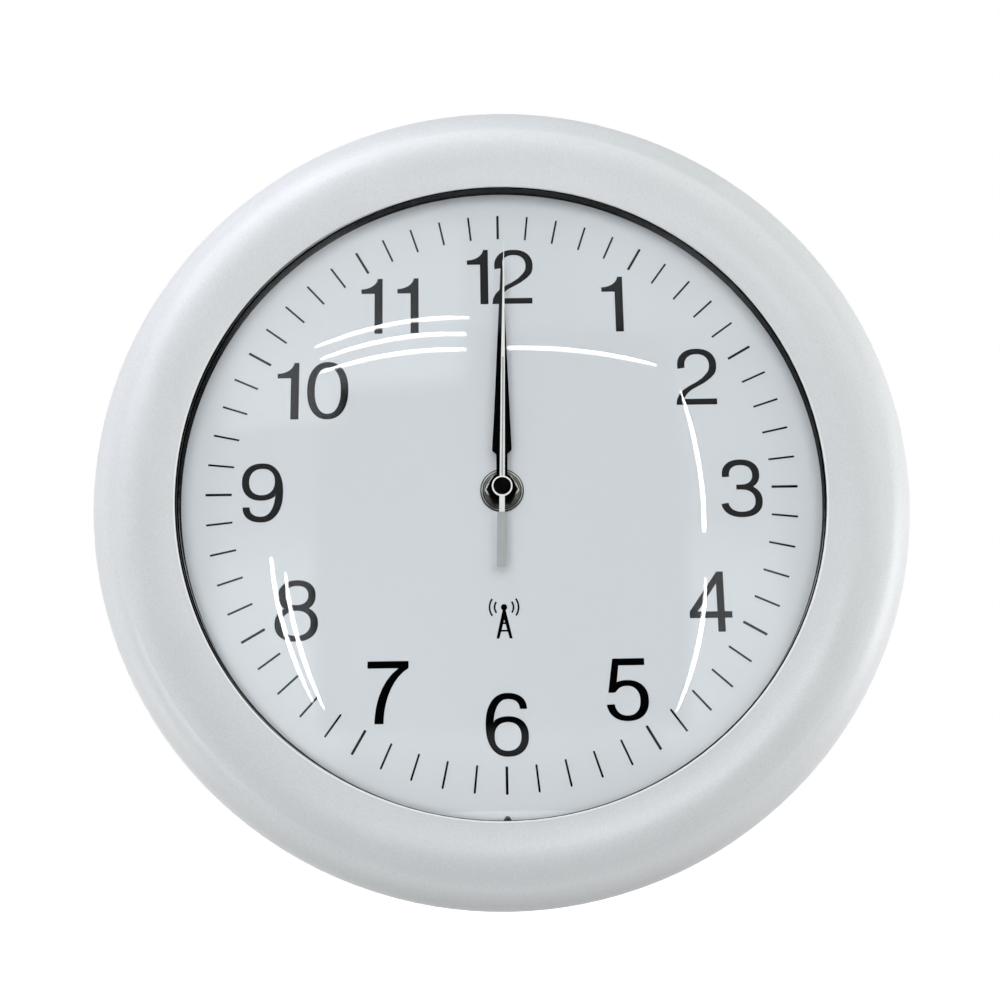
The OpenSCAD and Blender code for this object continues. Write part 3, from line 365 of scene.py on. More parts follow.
@dataclass(frozen=True)
class ClearGlass(Finish):
    """Clear domed glass, with the faint haze that handling leaves near its edge."""

    base: Colour = (0.985, 1.0, 0.995)
    edge: float = 118.0
    haze_width: float = 30.0
    seat: float = 119.1

    def build(self, shade: Shade) -> None:
        """Glass to sight, clear to light that falls on the dial, and wetted out on its gasket.

        Args:
            shade: the material to fill in.
        """
        place = shade.place()
        radius = shade.from_axis(place)
        haze = radius.step(self.edge - self.haze_width, self.edge) * shade.noise(place, per_mm=0.08, detail=3)
        glass = shade.surface({"Base Color": (*self.base, 1.0), "Roughness": 0.02 * haze, "IOR": 1.5,
                               "Transmission Weight": 1.0})
        through = shade.ray("Shadow").larger(shade.ray("Diffuse")).larger(radius > self.seat)
        shade.end(shade.over_clear(1 - through, glass))


@dataclass(frozen=True)
class Moulded(Finish):
    """Moulded plastic or rubber with the fine texture of its mould."""

    base: Colour
    roughness: float
    grain: float
    depth: float
    spread: float
    sheen: float = 0.5

    def build(self, shade: Shade) -> None:
        """Fine texture, with slow patches where the melt flowed and cooled.

        Args:
            shade: the material to fill in.
        """
        place = shade.place()
        texture = shade.noise(place, per_mm=self.grain, detail=3)
        flow = shade.noise(place, per_mm=0.05)
        shade.end(shade.surface(
            {"Base Color": shade.toned(self.base, texture * 0.6 + flow * 0.4, self.spread),
             "Roughness": self.roughness - 0.08 + 0.1 * flow + 0.06 * texture,
             "Specular IOR Level": self.sheen}, height=texture, depth=self.depth))


@dataclass(frozen=True)
class MouldedDisc(Moulded):
    """Textured moulded plastic with the faint witness rings of ejector pins."""

    pin_circles: tuple[float, ...] = (58.0, 92.0, 121.0)
    pins: int = 12
    pin_r: float = 3.2
    pin_line: Pair = (0.35, 0.1)
    pin_depth: float = 5.0

    def build(self, shade: Shade) -> None:
        """Rings of pin marks on circles about the clock's axis, over the moulded texture.

        Args:
            shade: the material to fill in.
        """
        place = shade.place()
        texture = shade.noise(place, per_mm=self.grain, detail=3)
        flow = shade.noise(place, per_mm=0.03)
        radius = shade.from_axis(place)
        angle = shade.node("ShaderNodeMath", {"operation": "ARCTAN2"},
                           {0: shade.along(place, Axis.UP), 1: shade.along(place, Axis.ACROSS)})
        turn = (angle * (self.pins / math.tau)).fraction() - 0.5
        marks = None
        for circle in self.pin_circles:
            off_round = turn * (math.tau / self.pins * circle)
            off_radial = radius - circle
            away = (off_round * off_round + off_radial * off_radial) ** 0.5
            ring = abs(away - self.pin_r).step(*self.pin_line)
            marks = ring if marks is None else marks.larger(ring)
        shade.end(shade.surface(
            {"Base Color": shade.toned(self.base, texture * 0.6 + flow * 0.4, self.spread),
             "Roughness": self.roughness - 0.08 + 0.1 * flow + 0.06 * texture - 0.08 * marks,
             "Specular IOR Level": self.sheen},
            height=texture * 0.2 - marks, depth=self.depth * self.pin_depth))


@dataclass(frozen=True)
class PrintedSheet(Finish):
    """The dial's sheet: a pale silver-grey print with a fine tooth."""

    base: Colour = (0.66, 0.695, 0.735)
    roughness: float = 0.5

    def build(self, shade: Shade) -> None:
        """A fine tooth and a very slow change of tone over the sheet.

        Args:
            shade: the material to fill in.
        """
        place = shade.place()
        tooth = shade.noise(place, per_mm=3.0)
        drift = shade.noise(place, per_mm=0.012, detail=1)
        shade.end(shade.surface(
            {"Base Color": shade.toned(self.base, tooth * 0.5 + drift * 0.5, spread=0.012),
             "Metallic": 0.1, "Roughness": self.roughness + 0.05 * tooth}, height=tooth, depth=0.004))


@dataclass(frozen=True)
class PrintingInk(Finish):
    """Screen-printed black ink, a little uneven where the mesh let it through."""

    base: Colour = (0.0006, 0.0006, 0.0008)
    sheen: float = 0.02

    def build(self, shade: Shade) -> None:
        """The mesh's faint weave and pinholes of thinner ink.

        Args:
            shade: the material to fill in.
        """
        place = shade.place()
        weave = shade.noise(place, per_mm=4.0)
        thin = shade.noise(place, per_mm=0.6, detail=3)
        shade.end(shade.surface(
            {"Base Color": shade.toned(self.base, weave * 0.5 + thin * 0.5, spread=0.25),
             "Specular IOR Level": self.sheen, "Roughness": 0.6 + 0.12 * thin}, height=weave, depth=0.003))


@dataclass(frozen=True)
class Metal(Finish):
    """Plain or plated metal, with marks drawn out along one direction."""

    base: Colour
    roughness: float
    along: Axis
    draw: float
    depth: float = 0.004
    metallic: float = 1.0
    spread: float = 0.08

    def build(self, shade: Shade) -> None:
        """Fine drawn lines and a cloudier tone where the plating varies.

        Args:
            shade: the material to fill in.
        """
        place = shade.place()
        stretch = [1.0, 1.0, 1.0]
        stretch[self.along.value] = self.draw
        lines = shade.noise(shade.stretched(place, stretch), per_mm=3.0, detail=3)
        cloud = shade.noise(place, per_mm=0.3)
        shade.end(shade.surface(
            {"Base Color": shade.toned(self.base, lines * 0.5 + cloud * 0.5, self.spread),
             "Metallic": self.metallic,
             "Roughness": self.roughness - 0.07 + 0.08 * lines + 0.06 * cloud},
            height=lines, depth=self.depth))


@dataclass(frozen=True)
class TurnedWasher(Finish):
    """A washer faced on a lathe, with grooves about its axis painted dark as shade, painted shade towards its
    bottom, and an uneven plating.
    """

    base: Colour = (0.66, 0.68, 0.65)
    # Nearly black colour of the painted shade in the grooves, along the edge and towards the bottom.
    dark: Colour = (0.012, 0.013, 0.012)
    # Radius and half width of each groove that is painted dark as shade; the first lies along the outer edge.
    grooves: tuple[Pair, ...] = ((8.15, 0.4), (7.05, 0.24), (6.35, 0.2), (5.8, 0.16))
    groove_soft: float = 0.08
    pitch: float = 0.4
    # Where painted shade starts and is full, going down the washer.
    painted_shade_up: Pair = (3.0, -7.0)

    def build(self, shade: Shade) -> None:
        """Grooves at their radii painted dark as shade, painted shade towards the bottom and patches of
        uneven plating, over the tool's rings.

        Args:
            shade: the material to fill in.
        """
        place = shade.place()
        radius = shade.from_axis(place)
        ring = shade.node("ShaderNodeTexNoise", {"noise_dimensions": "1D"},
                          {"W": radius, "Scale": 1 / self.pitch, "Detail": 2.0})
        cloud = shade.noise(place, per_mm=0.22)
        # Painted shade in the grooves and along the outer edge; the same mask sinks the grooves in the bump.
        groove_and_painted_shade = None
        for at, half in self.grooves:
            line = abs(radius - at).step(half + self.groove_soft, half - self.groove_soft)
            groove_and_painted_shade = line if groove_and_painted_shade is None else groove_and_painted_shade.larger(line)
        # Painted shade towards the bottom, plus random patches of uneven plating.
        painted_light_and_wear = shade.along(place, Axis.UP).step(*self.painted_shade_up) * 0.35 + cloud.step(0.35, 0.65) * 0.3
        bright = shade.toned(self.base, ring, spread=0.35)
        shade.end(shade.surface(
            {"Base Color": shade.mix((groove_and_painted_shade * 0.9 + painted_light_and_wear).smaller(1.0), bright, self.dark),
             "Metallic": 0.4, "Roughness": 0.3 + 0.14 * ring}, height=ring * 0.4 - groove_and_painted_shade, depth=0.03))


@dataclass(frozen=True)
class Winding(Finish):
    """Enamelled copper wire wound close, turn against turn, along an axis."""

    base: Colour = (0.50, 0.19, 0.07)
    # Colour of the painted shade between the turns.
    gap: Colour = (0.125, 0.0475, 0.0175)
    wire: float = 0.22
    along: Axis = Axis.ACROSS

    def build(self, shade: Shade) -> None:
        """Round wires side by side with painted shade between them, and the winding's slow unevenness.

        Args:
            shade: the material to fill in.
        """
        place = shade.place()
        sway = shade.noise(place, per_mm=0.35)
        turn = ((shade.along(place, self.along) + 0.3 * sway) / self.wire).fraction() - 0.5
        round_wire = (1 - 4 * turn * turn).larger(0.0) ** 0.5
        shade.end(shade.surface(
            # Painted shade: the colour darkened between the round turns, where they meet.
            {"Base Color": shade.mix(round_wire.step(0.1, 0.8), self.gap, self.base),
             "Metallic": 0.85,
             "Roughness": 0.42 - 0.16 * round_wire + 0.08 * sway,
             "Coat Weight": 0.4, "Coat Roughness": 0.15}, height=round_wire, depth=0.5 * self.wire))


@dataclass(frozen=True)
class SolderMask(Finish):
    """Green solder mask with copper tracks showing paler under it."""

    base: Colour = (0.012, 0.10, 0.045)
    track: Colour = (0.03, 0.19, 0.075)

    def build(self, shade: Shade) -> None:
        """Tracks in steps along the board, and the mask's slight ripple.

        Args:
            shade: the material to fill in.
        """
        place = shade.place()
        across = shade.along(place, Axis.ACROSS)
        up = shade.along(place, Axis.UP)
        bricks = shade.node(
            "ShaderNodeTexBrick", {"offset": 0.37, "offset_frequency": 2},
            {"Vector": shade.node("ShaderNodeCombineXYZ", sockets={0: across, 1: up}), "Scale": 1.0,
             "Mortar Size": 0.16, "Mortar Smooth": 0.2, "Brick Width": 5.3, "Row Height": 1.27}, out="Fac")
        ripple = shade.noise(place, per_mm=1.2)
        shade.end(shade.surface(
            {"Base Color": shade.mix(bricks, shade.toned(self.base, ripple, spread=0.1), self.track),
             "Roughness": 0.26 + 0.1 * ripple, "Coat Weight": 0.3, "Coat Roughness": 0.1},
            height=bricks * 0.7 + ripple * 0.3, depth=0.03))


@dataclass(frozen=True)
class CellSleeve(Finish):
    """A battery cell's printed sleeve, with one metallic band by the plus end and steel showing at both ends.
    """

    sleeve: Colour = (0.012, 0.02, 0.035)
    band: Colour = (0.62, 0.36, 0.14)
    steel: Colour = (0.60, 0.60, 0.58)
    band_from: float = 11.5
    line_back: float = 0.9
    line_half: float = 0.22
    minus_end: float = -25.15
    plus_end: float = 23.75

    def build(self, shade: Shade) -> None:
        """The sleeve's colours by place along the cell, and its shrink marks.

        Args:
            shade: the material to fill in.
        """
        place = shade.place()
        across = shade.along(place, Axis.ACROSS)
        shrink = shade.noise(shade.stretched(place, (0.25, 1, 1)), per_mm=0.9, detail=3)
        banded = across > self.band_from
        edged = abs(across - self.band_from + self.line_back) < self.line_half
        ends = (across > self.plus_end).larger(across < self.minus_end)
        colour = shade.mix(banded, shade.toned(self.sleeve, shrink, spread=0.3),
                           shade.toned(self.band, shrink, spread=0.06))
        colour = shade.mix(edged, colour, self.band)
        colour = shade.mix(ends, colour, shade.toned(self.steel, shrink, spread=0.06))
        shade.end(shade.surface(
            {"Base Color": colour,
             "Metallic": (banded.larger(edged) * 0.9).larger(ends),
             "Roughness": 0.24 + 0.1 * shrink,
             "Coat Weight": (1 - ends) * 0.5, "Coat Roughness": 0.06}, height=shrink, depth=0.01))


@dataclass(frozen=True)
class BlackNut(Finish):
    """A blackened hexagon nut with a painted highlight along its edges by the two side corners."""

    base: Colour = (0.006, 0.006, 0.006)
    # Colour of the painted highlight on the nut's edges.
    painted_light_and_wear: Colour = (0.95, 0.95, 0.92)
    # Width of the painted highlight band, and how far from the middle it lies.
    edge: float = 0.4
    edge_at: float = 6.2
    # Where the painted highlight starts and is full towards the side corners, and where it starts and is full
    # going up.
    sides: Pair = (2.2, 3.4)
    foot: Pair = (-2.6, -1.0)
    sheen: float = 0.2

    def build(self, shade: Shade) -> None:
        """A painted highlight close to the edges by the two side corners, broken up by specks, and none along
        the lower edges.

        Args:
            shade: the material to fill in.
        """
        place = shade.place()
        across = shade.along(place, Axis.ACROSS) * math.cos(math.radians(30))
        up = shade.along(place, Axis.UP)
        flats = abs(up).larger(abs(across + up * 0.5)).larger(abs(across - up * 0.5))
        corner = shade.from_axis(place)
        speck = shade.noise(place, per_mm=1.4, detail=3)
        # Painted highlight: a bright band along the hexagon's edges by its left and right corners, where
        # light catches them.
        painted_light_and_wear = (flats + corner * 0.12 + 0.25 * speck).step(self.edge_at - self.edge, self.edge_at)
        painted_light_and_wear = painted_light_and_wear * abs(across).step(*self.sides) * up.step(*self.foot)
        shade.end(shade.surface(
            {"Base Color": shade.mix(painted_light_and_wear, shade.toned(self.base, speck, spread=0.3), self.painted_light_and_wear),
             "Metallic": 0.3, "Roughness": 0.4 + 0.1 * speck, "Specular IOR Level": self.sheen},
            height=speck, depth=0.006))


@dataclass(frozen=True)
class HandPaint(Finish):
    """Matt black paint on stamped hands, with the grain of the metal just under it."""

    base: Colour = (0.0008, 0.0008, 0.001)
    sheen: float = 0.03

    def build(self, shade: Shade) -> None:
        """The rolled metal's lines and a slow change in how matt the paint is.

        Args:
            shade: the material to fill in.
        """
        place = shade.place()
        lines = shade.noise(shade.stretched(place, (1.0, 1.0, 0.1)), per_mm=2.5, detail=3)
        cloud = shade.noise(place, per_mm=0.25)
        shade.end(shade.surface(
            {"Base Color": shade.toned(self.base, lines * 0.5 + cloud * 0.5, spread=0.3),
             "Specular IOR Level": self.sheen, "Roughness": 0.6 + 0.1 * cloud}, height=lines, depth=0.003))


@dataclass(frozen=True)
class SilverHand(Finish):
    """Satin silver paint on a stamped hand, with a polished hub ring and a duller groove and paddle."""

    base: Colour = (0.80, 0.81, 0.81)
    dull: Colour = (0.385, 0.405, 0.415)
    ring: Colour = (0.95, 0.95, 0.94)
    lean: float = 1.3
    ring_from: float = 3.2
    ring_to: float = 3.95
    groove: float = 0.3
    groove_soft: float = 0.08
    groove_to: float = 50.0
    paddle_from: float = -9.7

    def build(self, shade: Shade) -> None:
        """Tones by place along the hand, and fine brushing.

        Args:
            shade: the material to fill in.
        """
        place = shade.place()
        turn = math.radians(self.lean)
        across = shade.along(place, Axis.ACROSS)
        up = shade.along(place, Axis.UP)
        offset = across * math.cos(turn) - up * math.sin(turn)
        radius = shade.from_axis(place)
        brush = shade.noise(shade.stretched(place, (1.0, 1.0, 0.03)), per_mm=3.0, detail=3)
        groove = abs(offset).step(self.groove + self.groove_soft, self.groove - self.groove_soft)
        groove = groove * (up > self.ring_to) * (up < self.groove_to)
        paddle = up < self.paddle_from
        ring = (radius > self.ring_from) * (radius < self.ring_to)
        colour = shade.mix(groove.larger(paddle), shade.toned(self.base, brush, spread=0.03),
                           shade.toned(self.dull, brush, spread=0.06))
        shade.end(shade.surface(
            {"Base Color": shade.mix(ring, colour, self.ring), "Metallic": 0.15,
             "Roughness": 0.34 + 0.1 * brush - 0.08 * ring}, height=brush, depth=0.003))


class Finishes:
    """Every finish of the clock.

    A moulded finish is given by its colour, roughness, grains to a millimetre, depth of grain, spread of tone
    and sheen; a metal by its colour, roughness, the direction of its marks, how far they are drawn out, their
    depth, how metallic it is and its spread of tone.
    """

    LACQUER = SatinLacquer("satin_lacquer")
    GLASS = ClearGlass("domed_glass")
    RUBBER = Moulded("black_rubber_finish", (0.003, 0.003, 0.0035), 0.75, 1.6, 0.02, 0.2, 0.0)
    SPACER = Moulded("spacer_plastic", (0.016, 0.017, 0.018), 0.65, 2.4, 0.01, 0.2, 0.01)
    SHEET = PrintedSheet("dial_sheet")
    INK = PrintingInk("screen_ink")
    BACK = MouldedDisc("back_plate_plastic", (0.022, 0.022, 0.024), 0.55, 1.6, 0.02, 0.2)
    SCREW = Metal("zinc_plate", (0.60, 0.61, 0.62), 0.3, Axis.DEEP, 0.2)
    HANGER = Metal("rolled_zinc_plate", (0.56, 0.57, 0.58), 0.34, Axis.UP, 0.05)
    WASHER = TurnedWasher("turned_washer")
    NUT = BlackNut("blackened_nut")
    MOVEMENT = Moulded("movement_case_plastic", (0.018, 0.018, 0.020), 0.48, 2.0, 0.015, 0.2)
    ACETAL = Moulded("natural_acetal", (0.78, 0.77, 0.72), 0.4, 1.5, 0.008, 0.03)
    MASK = SolderMask("solder_mask")
    EPOXY = Moulded("chip_epoxy", (0.016, 0.016, 0.017), 0.55, 5.0, 0.01, 0.3)
    FERRITE = Moulded("sintered_ferrite", (0.035, 0.035, 0.038), 0.6, 3.5, 0.03, 0.3)
    COIL_ACROSS = Winding("wire_wound_across")
    COIL_UP = Winding("wire_wound_up", along=Axis.UP)
    IRON = Metal("stamped_iron", (0.42, 0.42, 0.41), 0.42, Axis.UP, 0.1, 0.006)
    NICKEL = Metal("nickel_plate", (0.68, 0.66, 0.61), 0.2, Axis.UP, 0.1, 0.002, 1.0, 0.05)
    SECOND_HAND = SilverHand("satin_silver_hand")
    HAND = HandPaint("black_hand_paint")
    CAP = HandPaint("black_cap", (0.0014, 0.0014, 0.0015), 0.04)
    BUSH = Metal("blackened_bush", (0.03, 0.03, 0.03), 0.4, Axis.DEEP, 0.3, 0.003, 0.6, 0.15)
    CELL = CellSleeve("cell_sleeve")
    GREY_BUTTON = Moulded("grey_button_plastic", (0.26, 0.27, 0.28), 0.42, 2.4, 0.01, 0.06)
    RED_BUTTON = Moulded("red_button_plastic", (0.42, 0.018, 0.014), 0.42, 2.4, 0.01, 0.08)


def lathe(section: Sequence[Pair], turns: int) -> bmesh.types.BMesh:
    """Turns a section about the clock's axis.

    Args:
        section: radius and height above the wall of each point, in millimetres, from the axis to the axis.
        turns: how many steps it takes all round.
    Returns:
        The closed mesh, in metres.
    """
    form = bmesh.new()
    angles = [math.tau * i / turns for i in range(turns)]
    rings = [[form.verts.new((radius * MM * math.cos(a), -height * MM, radius * MM * math.sin(a)))
              for a in (angles if radius > 0 else angles[:1])] for radius, height in section]
    for low, high in zip(rings, rings[1:]):
        for i in range(turns):
            j = i + 1
            corners = (low[i % len(low)], low[j % len(low)], high[j % len(high)], high[i % len(high)])
            form.faces.new(list(dict.fromkeys(corners)))
    bmesh.ops.recalc_face_normals(form, faces=form.faces)
    return form


def plate(form: bmesh.types.BMesh, outline: Sequence[Pair], low: float, high: float) -> None:
    """Adds a flat plate to a mesh.

    Args:
        form: the mesh.
        outline: its corners across and up, in millimetres.
        low: its height above the wall where it is nearest the wall, in millimetres.
        high: its height where it is farthest.
    """
    near, far = ([form.verts.new((across * MM, -height * MM, up * MM)) for across, up in outline]
                 for height in (low, high))
    sides = [(near[i - 1], near[i], far[i], far[i - 1]) for i in range(len(outline))]
    made = [form.faces.new(corners) for corners in (near, far[::-1], *sides)]
    bmesh.ops.recalc_face_normals(form, faces=made)


def box(centre: Pair, wide: float, tall: float) -> list[Pair]:
    """The outline of a rectangle: its corners about its centre."""
    return [(centre[0] + i * wide / 2, centre[1] + j * tall / 2) for i, j in CORNERS]


def arc_band(centre: Pair, radius: float, width: float, start: float, end: float) -> list[Pair]:
    """The outline of a band bent round a centre.

    Args:
        centre: its centre across and up, in millimetres.
        radius: the radius of its middle line.
        width: its width.
        start: where it starts, in degrees from the right, counter-clockwise.
        end: where it ends.
    Returns:
        The outline's corners.
    """
    turns = [math.radians(start + (end - start) * i / ARC_STEPS) for i in range(ARC_STEPS + 1)]
    round_trip = [(radius + width / 2, turn) for turn in turns] \
        + [(radius - width / 2, turn) for turn in reversed(turns)]
    return [(centre[0] + away * math.cos(turn), centre[1] + away * math.sin(turn))
            for away, turn in round_trip]


@dataclass
class SubAssembly:
    """Some of the clock's parts, dressed together."""

    body: str = "case"

    def finishes(self) -> Mapping[str, Finish]:
        """Each CAD part of this sub-assembly with its finish."""
        raise NotImplementedError

    def build(self) -> None:
        """Dresses the parts and reports them."""
        for node, finish in self.finishes().items():
            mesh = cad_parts[node].data
            mesh.materials.clear()
            mesh.materials.append(finish.material())
            LOG.info("%s: %s", node, finish.name)

    def add(self, name: str, form: bmesh.types.BMesh, finish: Finish, slot: str,
            crease: float = 30.0) -> bpy.types.Object:
        """Adds a piece that CAD doesn't have.

        Args:
            name: the piece's name.
            form: its mesh, in metres in the clock's frame.
            finish: its finish.
            slot: the record's slot that the finish answers to; not used.
            crease: the bend, in degrees, from which an edge stays sharp.
        Returns:
            The piece, riding on this sub-assembly's body.
        """
        mesh = bpy.data.meshes.new(name)
        form.to_mesh(mesh)
        form.free()
        mesh.shade_smooth()
        mesh.set_sharp_from_angle(angle=math.radians(crease))
        piece = bpy.data.objects.new(name, mesh)
        bpy.context.scene.collection.objects.link(piece)
        mesh.materials.append(finish.material())
        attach(piece, self.body)
        LOG.info("%s: %s, %d faces", name, finish.name, len(mesh.polygons))
        return piece


@dataclass
class Frame(SubAssembly):
    """The silver ring that goes round the clock."""

    def finishes(self) -> Mapping[str, Finish]:
        """The rim's finish."""
        return {"rim": Finishes.LACQUER}

    def build(self) -> None:
        """Dresses the ring, and evens its shading where its faces are narrow."""
        super().build()
        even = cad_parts["rim"].modifiers.new("even_shading", "WEIGHTED_NORMAL")
        even.weight = 100
        even.keep_sharp = True


@dataclass
class Glazing(SubAssembly):
    """The domed glass, its gasket and the spacer behind it."""

    thick: float = 1.8
    dome_r: float = 119.2
    dome_h: float = 11.0
    seat_r: float = 123.2
    front: float = 37.7
    rings: int = 40
    turns: int = 256
    crease: float = 4.0

    def section(self) -> list[Pair]:
        """The glass from its apex out to the flange and back under the dome.

        Returns:
            The radius and the height above the wall of each point, in millimetres.
        """
        outer = (self.dome_r ** 2 + self.dome_h ** 2) / (2 * self.dome_h)
        centre = self.front + self.dome_h - outer
        inner = outer - self.thick
        back = self.front - self.thick
        inner_edge = (inner ** 2 - (back - centre) ** 2) ** 0.5

        def face(radius: float, edge: float) -> list[Pair]:
            """Points of one face of the dome from its apex to its edge."""
            spots = [edge * i / self.rings for i in range(self.rings + 1)]
            return [(spot, centre + (radius ** 2 - spot ** 2) ** 0.5) for spot in spots]

        flange = [(self.seat_r, self.front), (self.seat_r, back)]
        return face(outer, self.dome_r) + flange + face(inner, inner_edge)[::-1]

    def build(self) -> None:
        """Turns the glass finely, so that it bends light evenly, and dresses the rest."""
        super().build()
        form = lathe(self.section(), self.turns)
        glass = self.add("domed_lens", form, Finishes.GLASS, "clear_glass", self.crease)
        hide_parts("lens")

    def finishes(self) -> Mapping[str, Finish]:
        """The glass and the black wall under it."""
        return {"lens": Finishes.GLASS, "lens_gasket": Finishes.RUBBER, "spacer_ring": Finishes.SPACER}


@dataclass
class Dial(SubAssembly):
    """The printed dial."""

    def finishes(self) -> Mapping[str, Finish]:
        """The sheet and what is printed on it."""
        return {"dial": Finishes.SHEET, "minute_marks": Finishes.INK, "numerals": Finishes.INK,
                "radio_symbol": Finishes.INK}


@dataclass
class CentreFixing(SubAssembly):
    """The nut and washers that hold the movement to the dial."""

    def finishes(self) -> Mapping[str, Finish]:
        """The nut and the washers in front and behind."""
        return {"hex_nut": Finishes.NUT, "dial_washer": Finishes.WASHER, "rubber_washer": Finishes.RUBBER}


@dataclass
class Hands(SubAssembly):
    """The three hands with their bushes and cap."""

    def finishes(self) -> Mapping[str, Finish]:
        """Black hour and minute hands, silver second hand."""
        return {"hour_hand": Finishes.HAND, "minute_hand": Finishes.HAND, "second_hand": Finishes.SECOND_HAND,
                "second_cap": Finishes.CAP, "hour_bush": Finishes.BUSH, "minute_bush": Finishes.BUSH}


@dataclass
class BackPlate(SubAssembly):
    """The plate behind the dial and the screws that hold it in the frame."""

    def finishes(self) -> Mapping[str, Finish]:
        """The plate and its screws."""
        return {"back_plate": Finishes.BACK, "back_screws": Finishes.SCREW}


@dataclass
class Movement(SubAssembly):
    """The radio-controlled movement: case, trains, motors, board and antenna."""

    rear_h: float = 8.2
    mark_h: float = 0.3
    pole_x: float = 34.0
    pole_up: float = -40.05
    pole_long: float = 5.4
    pole_w: float = 1.2
    sign_up: float = -17.2
    sign_pitch: float = 18.0
    sign_r: float = 2.3
    sign_w: float = 0.7
    dial_half: float = 172.0
    hands: Pair = (2.1, 1.5)
    thinner: float = 0.98
    mast: Pair = (3.4, -0.9)
    wave_up: float = 1.4
    wave_radii: Pair = (1.6, 2.9)
    wave_half: float = 50.0
    turn_from: float = 60.0
    turn_to: float = 350.0
    arrow: tuple[Pair, ...] = ((0.2, 3.3), (0.2, 0.7), (2.3, 2.3))

    def finishes(self) -> Mapping[str, Finish]:
        """The movement's parts.

        Returns:
            Each part's finish by its name.
        """
        wheels = ("seconds_wheel", "seconds_idler", "seconds_rotor", "minute_wheel", "minutes_idler_fast",
                  "minutes_idler_slow", "minutes_rotor", "motion_wheel", "hour_wheel", "train_bridge")
        zinc = ("cover_screws", "bridge_screws", "board_screws", "crystal_can")
        iron = ("seconds_stator", "minutes_stator", "seconds_core", "minutes_core")
        return {"movement_base": Finishes.MOVEMENT, "movement_cover": Finishes.MOVEMENT,
                **dict.fromkeys(wheels, Finishes.ACETAL), **dict.fromkeys(zinc, Finishes.SCREW),
                **dict.fromkeys(iron, Finishes.IRON),
                "circuit_board": Finishes.MASK, "controller_chip": Finishes.EPOXY,
                "push_switches": Finishes.EPOXY, "antenna_rod": Finishes.FERRITE,
                "antenna_coil": Finishes.COIL_ACROSS, "seconds_coil": Finishes.COIL_UP,
                "minutes_coil": Finishes.COIL_UP}

    def raised(self, name: str, outlines: Sequence[Sequence[Pair]]) -> None:
        """Raises marks on the rear of the cover.

        Args:
            name: the name of the piece that they make together.
            outlines: each mark's corners across and up, in millimetres.
        """
        form = bmesh.new()
        for outline in outlines:
            plate(form, outline, self.rear_h - self.mark_h, self.rear_h + self.mark_h)
        self.add(name, form, Finishes.MOVEMENT, "movement_plastic")

    def poles(self) -> list[list[Pair]]:
        """A plus and a minus, each by its end of the cell.

        Returns:
            The outlines of the plus's bar and two arms, and of the minus.
        """
        bar, wide, up = self.pole_long, self.pole_w, self.pole_up
        arm, off = (bar - wide) / 2, (bar + wide) / 4
        arms = [box((self.pole_x, up + side * off), wide, arm) for side in (1, -1)]
        return [box((self.pole_x, up), bar, wide), *arms, box((-self.pole_x, up), bar, wide)]

    def clock_sign(self) -> list[list[Pair]]:
        """A small clock face by the button that sets the time.

        Returns:
            The outlines of its ring's two halves and its two hands.
        """
        left, up, wide = -self.sign_pitch, self.sign_up, self.sign_w
        tall, short = self.hands
        ring = [arc_band((left, up), self.sign_r, wide, turn, turn + self.dial_half) for turn in (0, 180)]
        upright = box((left, up + (tall - wide) / 2), wide, tall)
        return [*ring, upright, box((left + short / 2, up), short, wide * self.thinner)]

    def mast_sign(self) -> list[list[Pair]]:
        """A mast with waves by the button that looks for the radio signal.

        Returns:
            The outlines of the mast and its four waves.
        """
        tall, off = self.mast
        middle = (0.0, self.sign_up + self.wave_up)
        waves = [arc_band(middle, radius, self.sign_w, turn - self.wave_half, turn + self.wave_half)
                 for turn in (0, 180) for radius in self.wave_radii]
        return [box((0.0, self.sign_up + off), self.sign_w, tall), *waves]

    def turn_sign(self) -> list[list[Pair]]:
        """A turning arrow by the reset button.

        Returns:
            The outlines of its bent shaft and its head.
        """
        right, up = self.sign_pitch, self.sign_up
        return [arc_band((right, up), self.sign_r, self.sign_w, self.turn_from, self.turn_to),
                [(right + across, up + rise) for across, rise in self.arrow]]

    def build(self) -> None:
        """Dresses the parts, and raises plain marks by the buttons and by the cell's two ends."""
        super().build()
        self.raised("pole_marks", self.poles())
        self.raised("button_signs", self.clock_sign() + self.mast_sign() + self.turn_sign())


@dataclass
class Battery(SubAssembly):
    """The cell and the contacts that it lies between."""

    def finishes(self) -> Mapping[str, Finish]:
        """The cell, its terminal and the two contacts."""
        return {"battery_cell": Finishes.CELL, "battery_terminal": Finishes.NICKEL,
                "plus_contact": Finishes.NICKEL, "minus_contact": Finishes.NICKEL}


@dataclass
class Buttons(SubAssembly):
    """The three push buttons on the rear."""

    def finishes(self) -> Mapping[str, Finish]:
        """Two grey buttons and a red one."""
        return {"set_button": Finishes.GREY_BUTTON, "receive_button": Finishes.GREY_BUTTON,
                "reset_button": Finishes.RED_BUTTON}


@dataclass
class Hanger(SubAssembly):
    """The keyhole plate and its screws."""

    def finishes(self) -> Mapping[str, Finish]:
        """The plate and the screws."""
        return {"hanger": Finishes.HANGER, "hanger_screws": Finishes.SCREW}


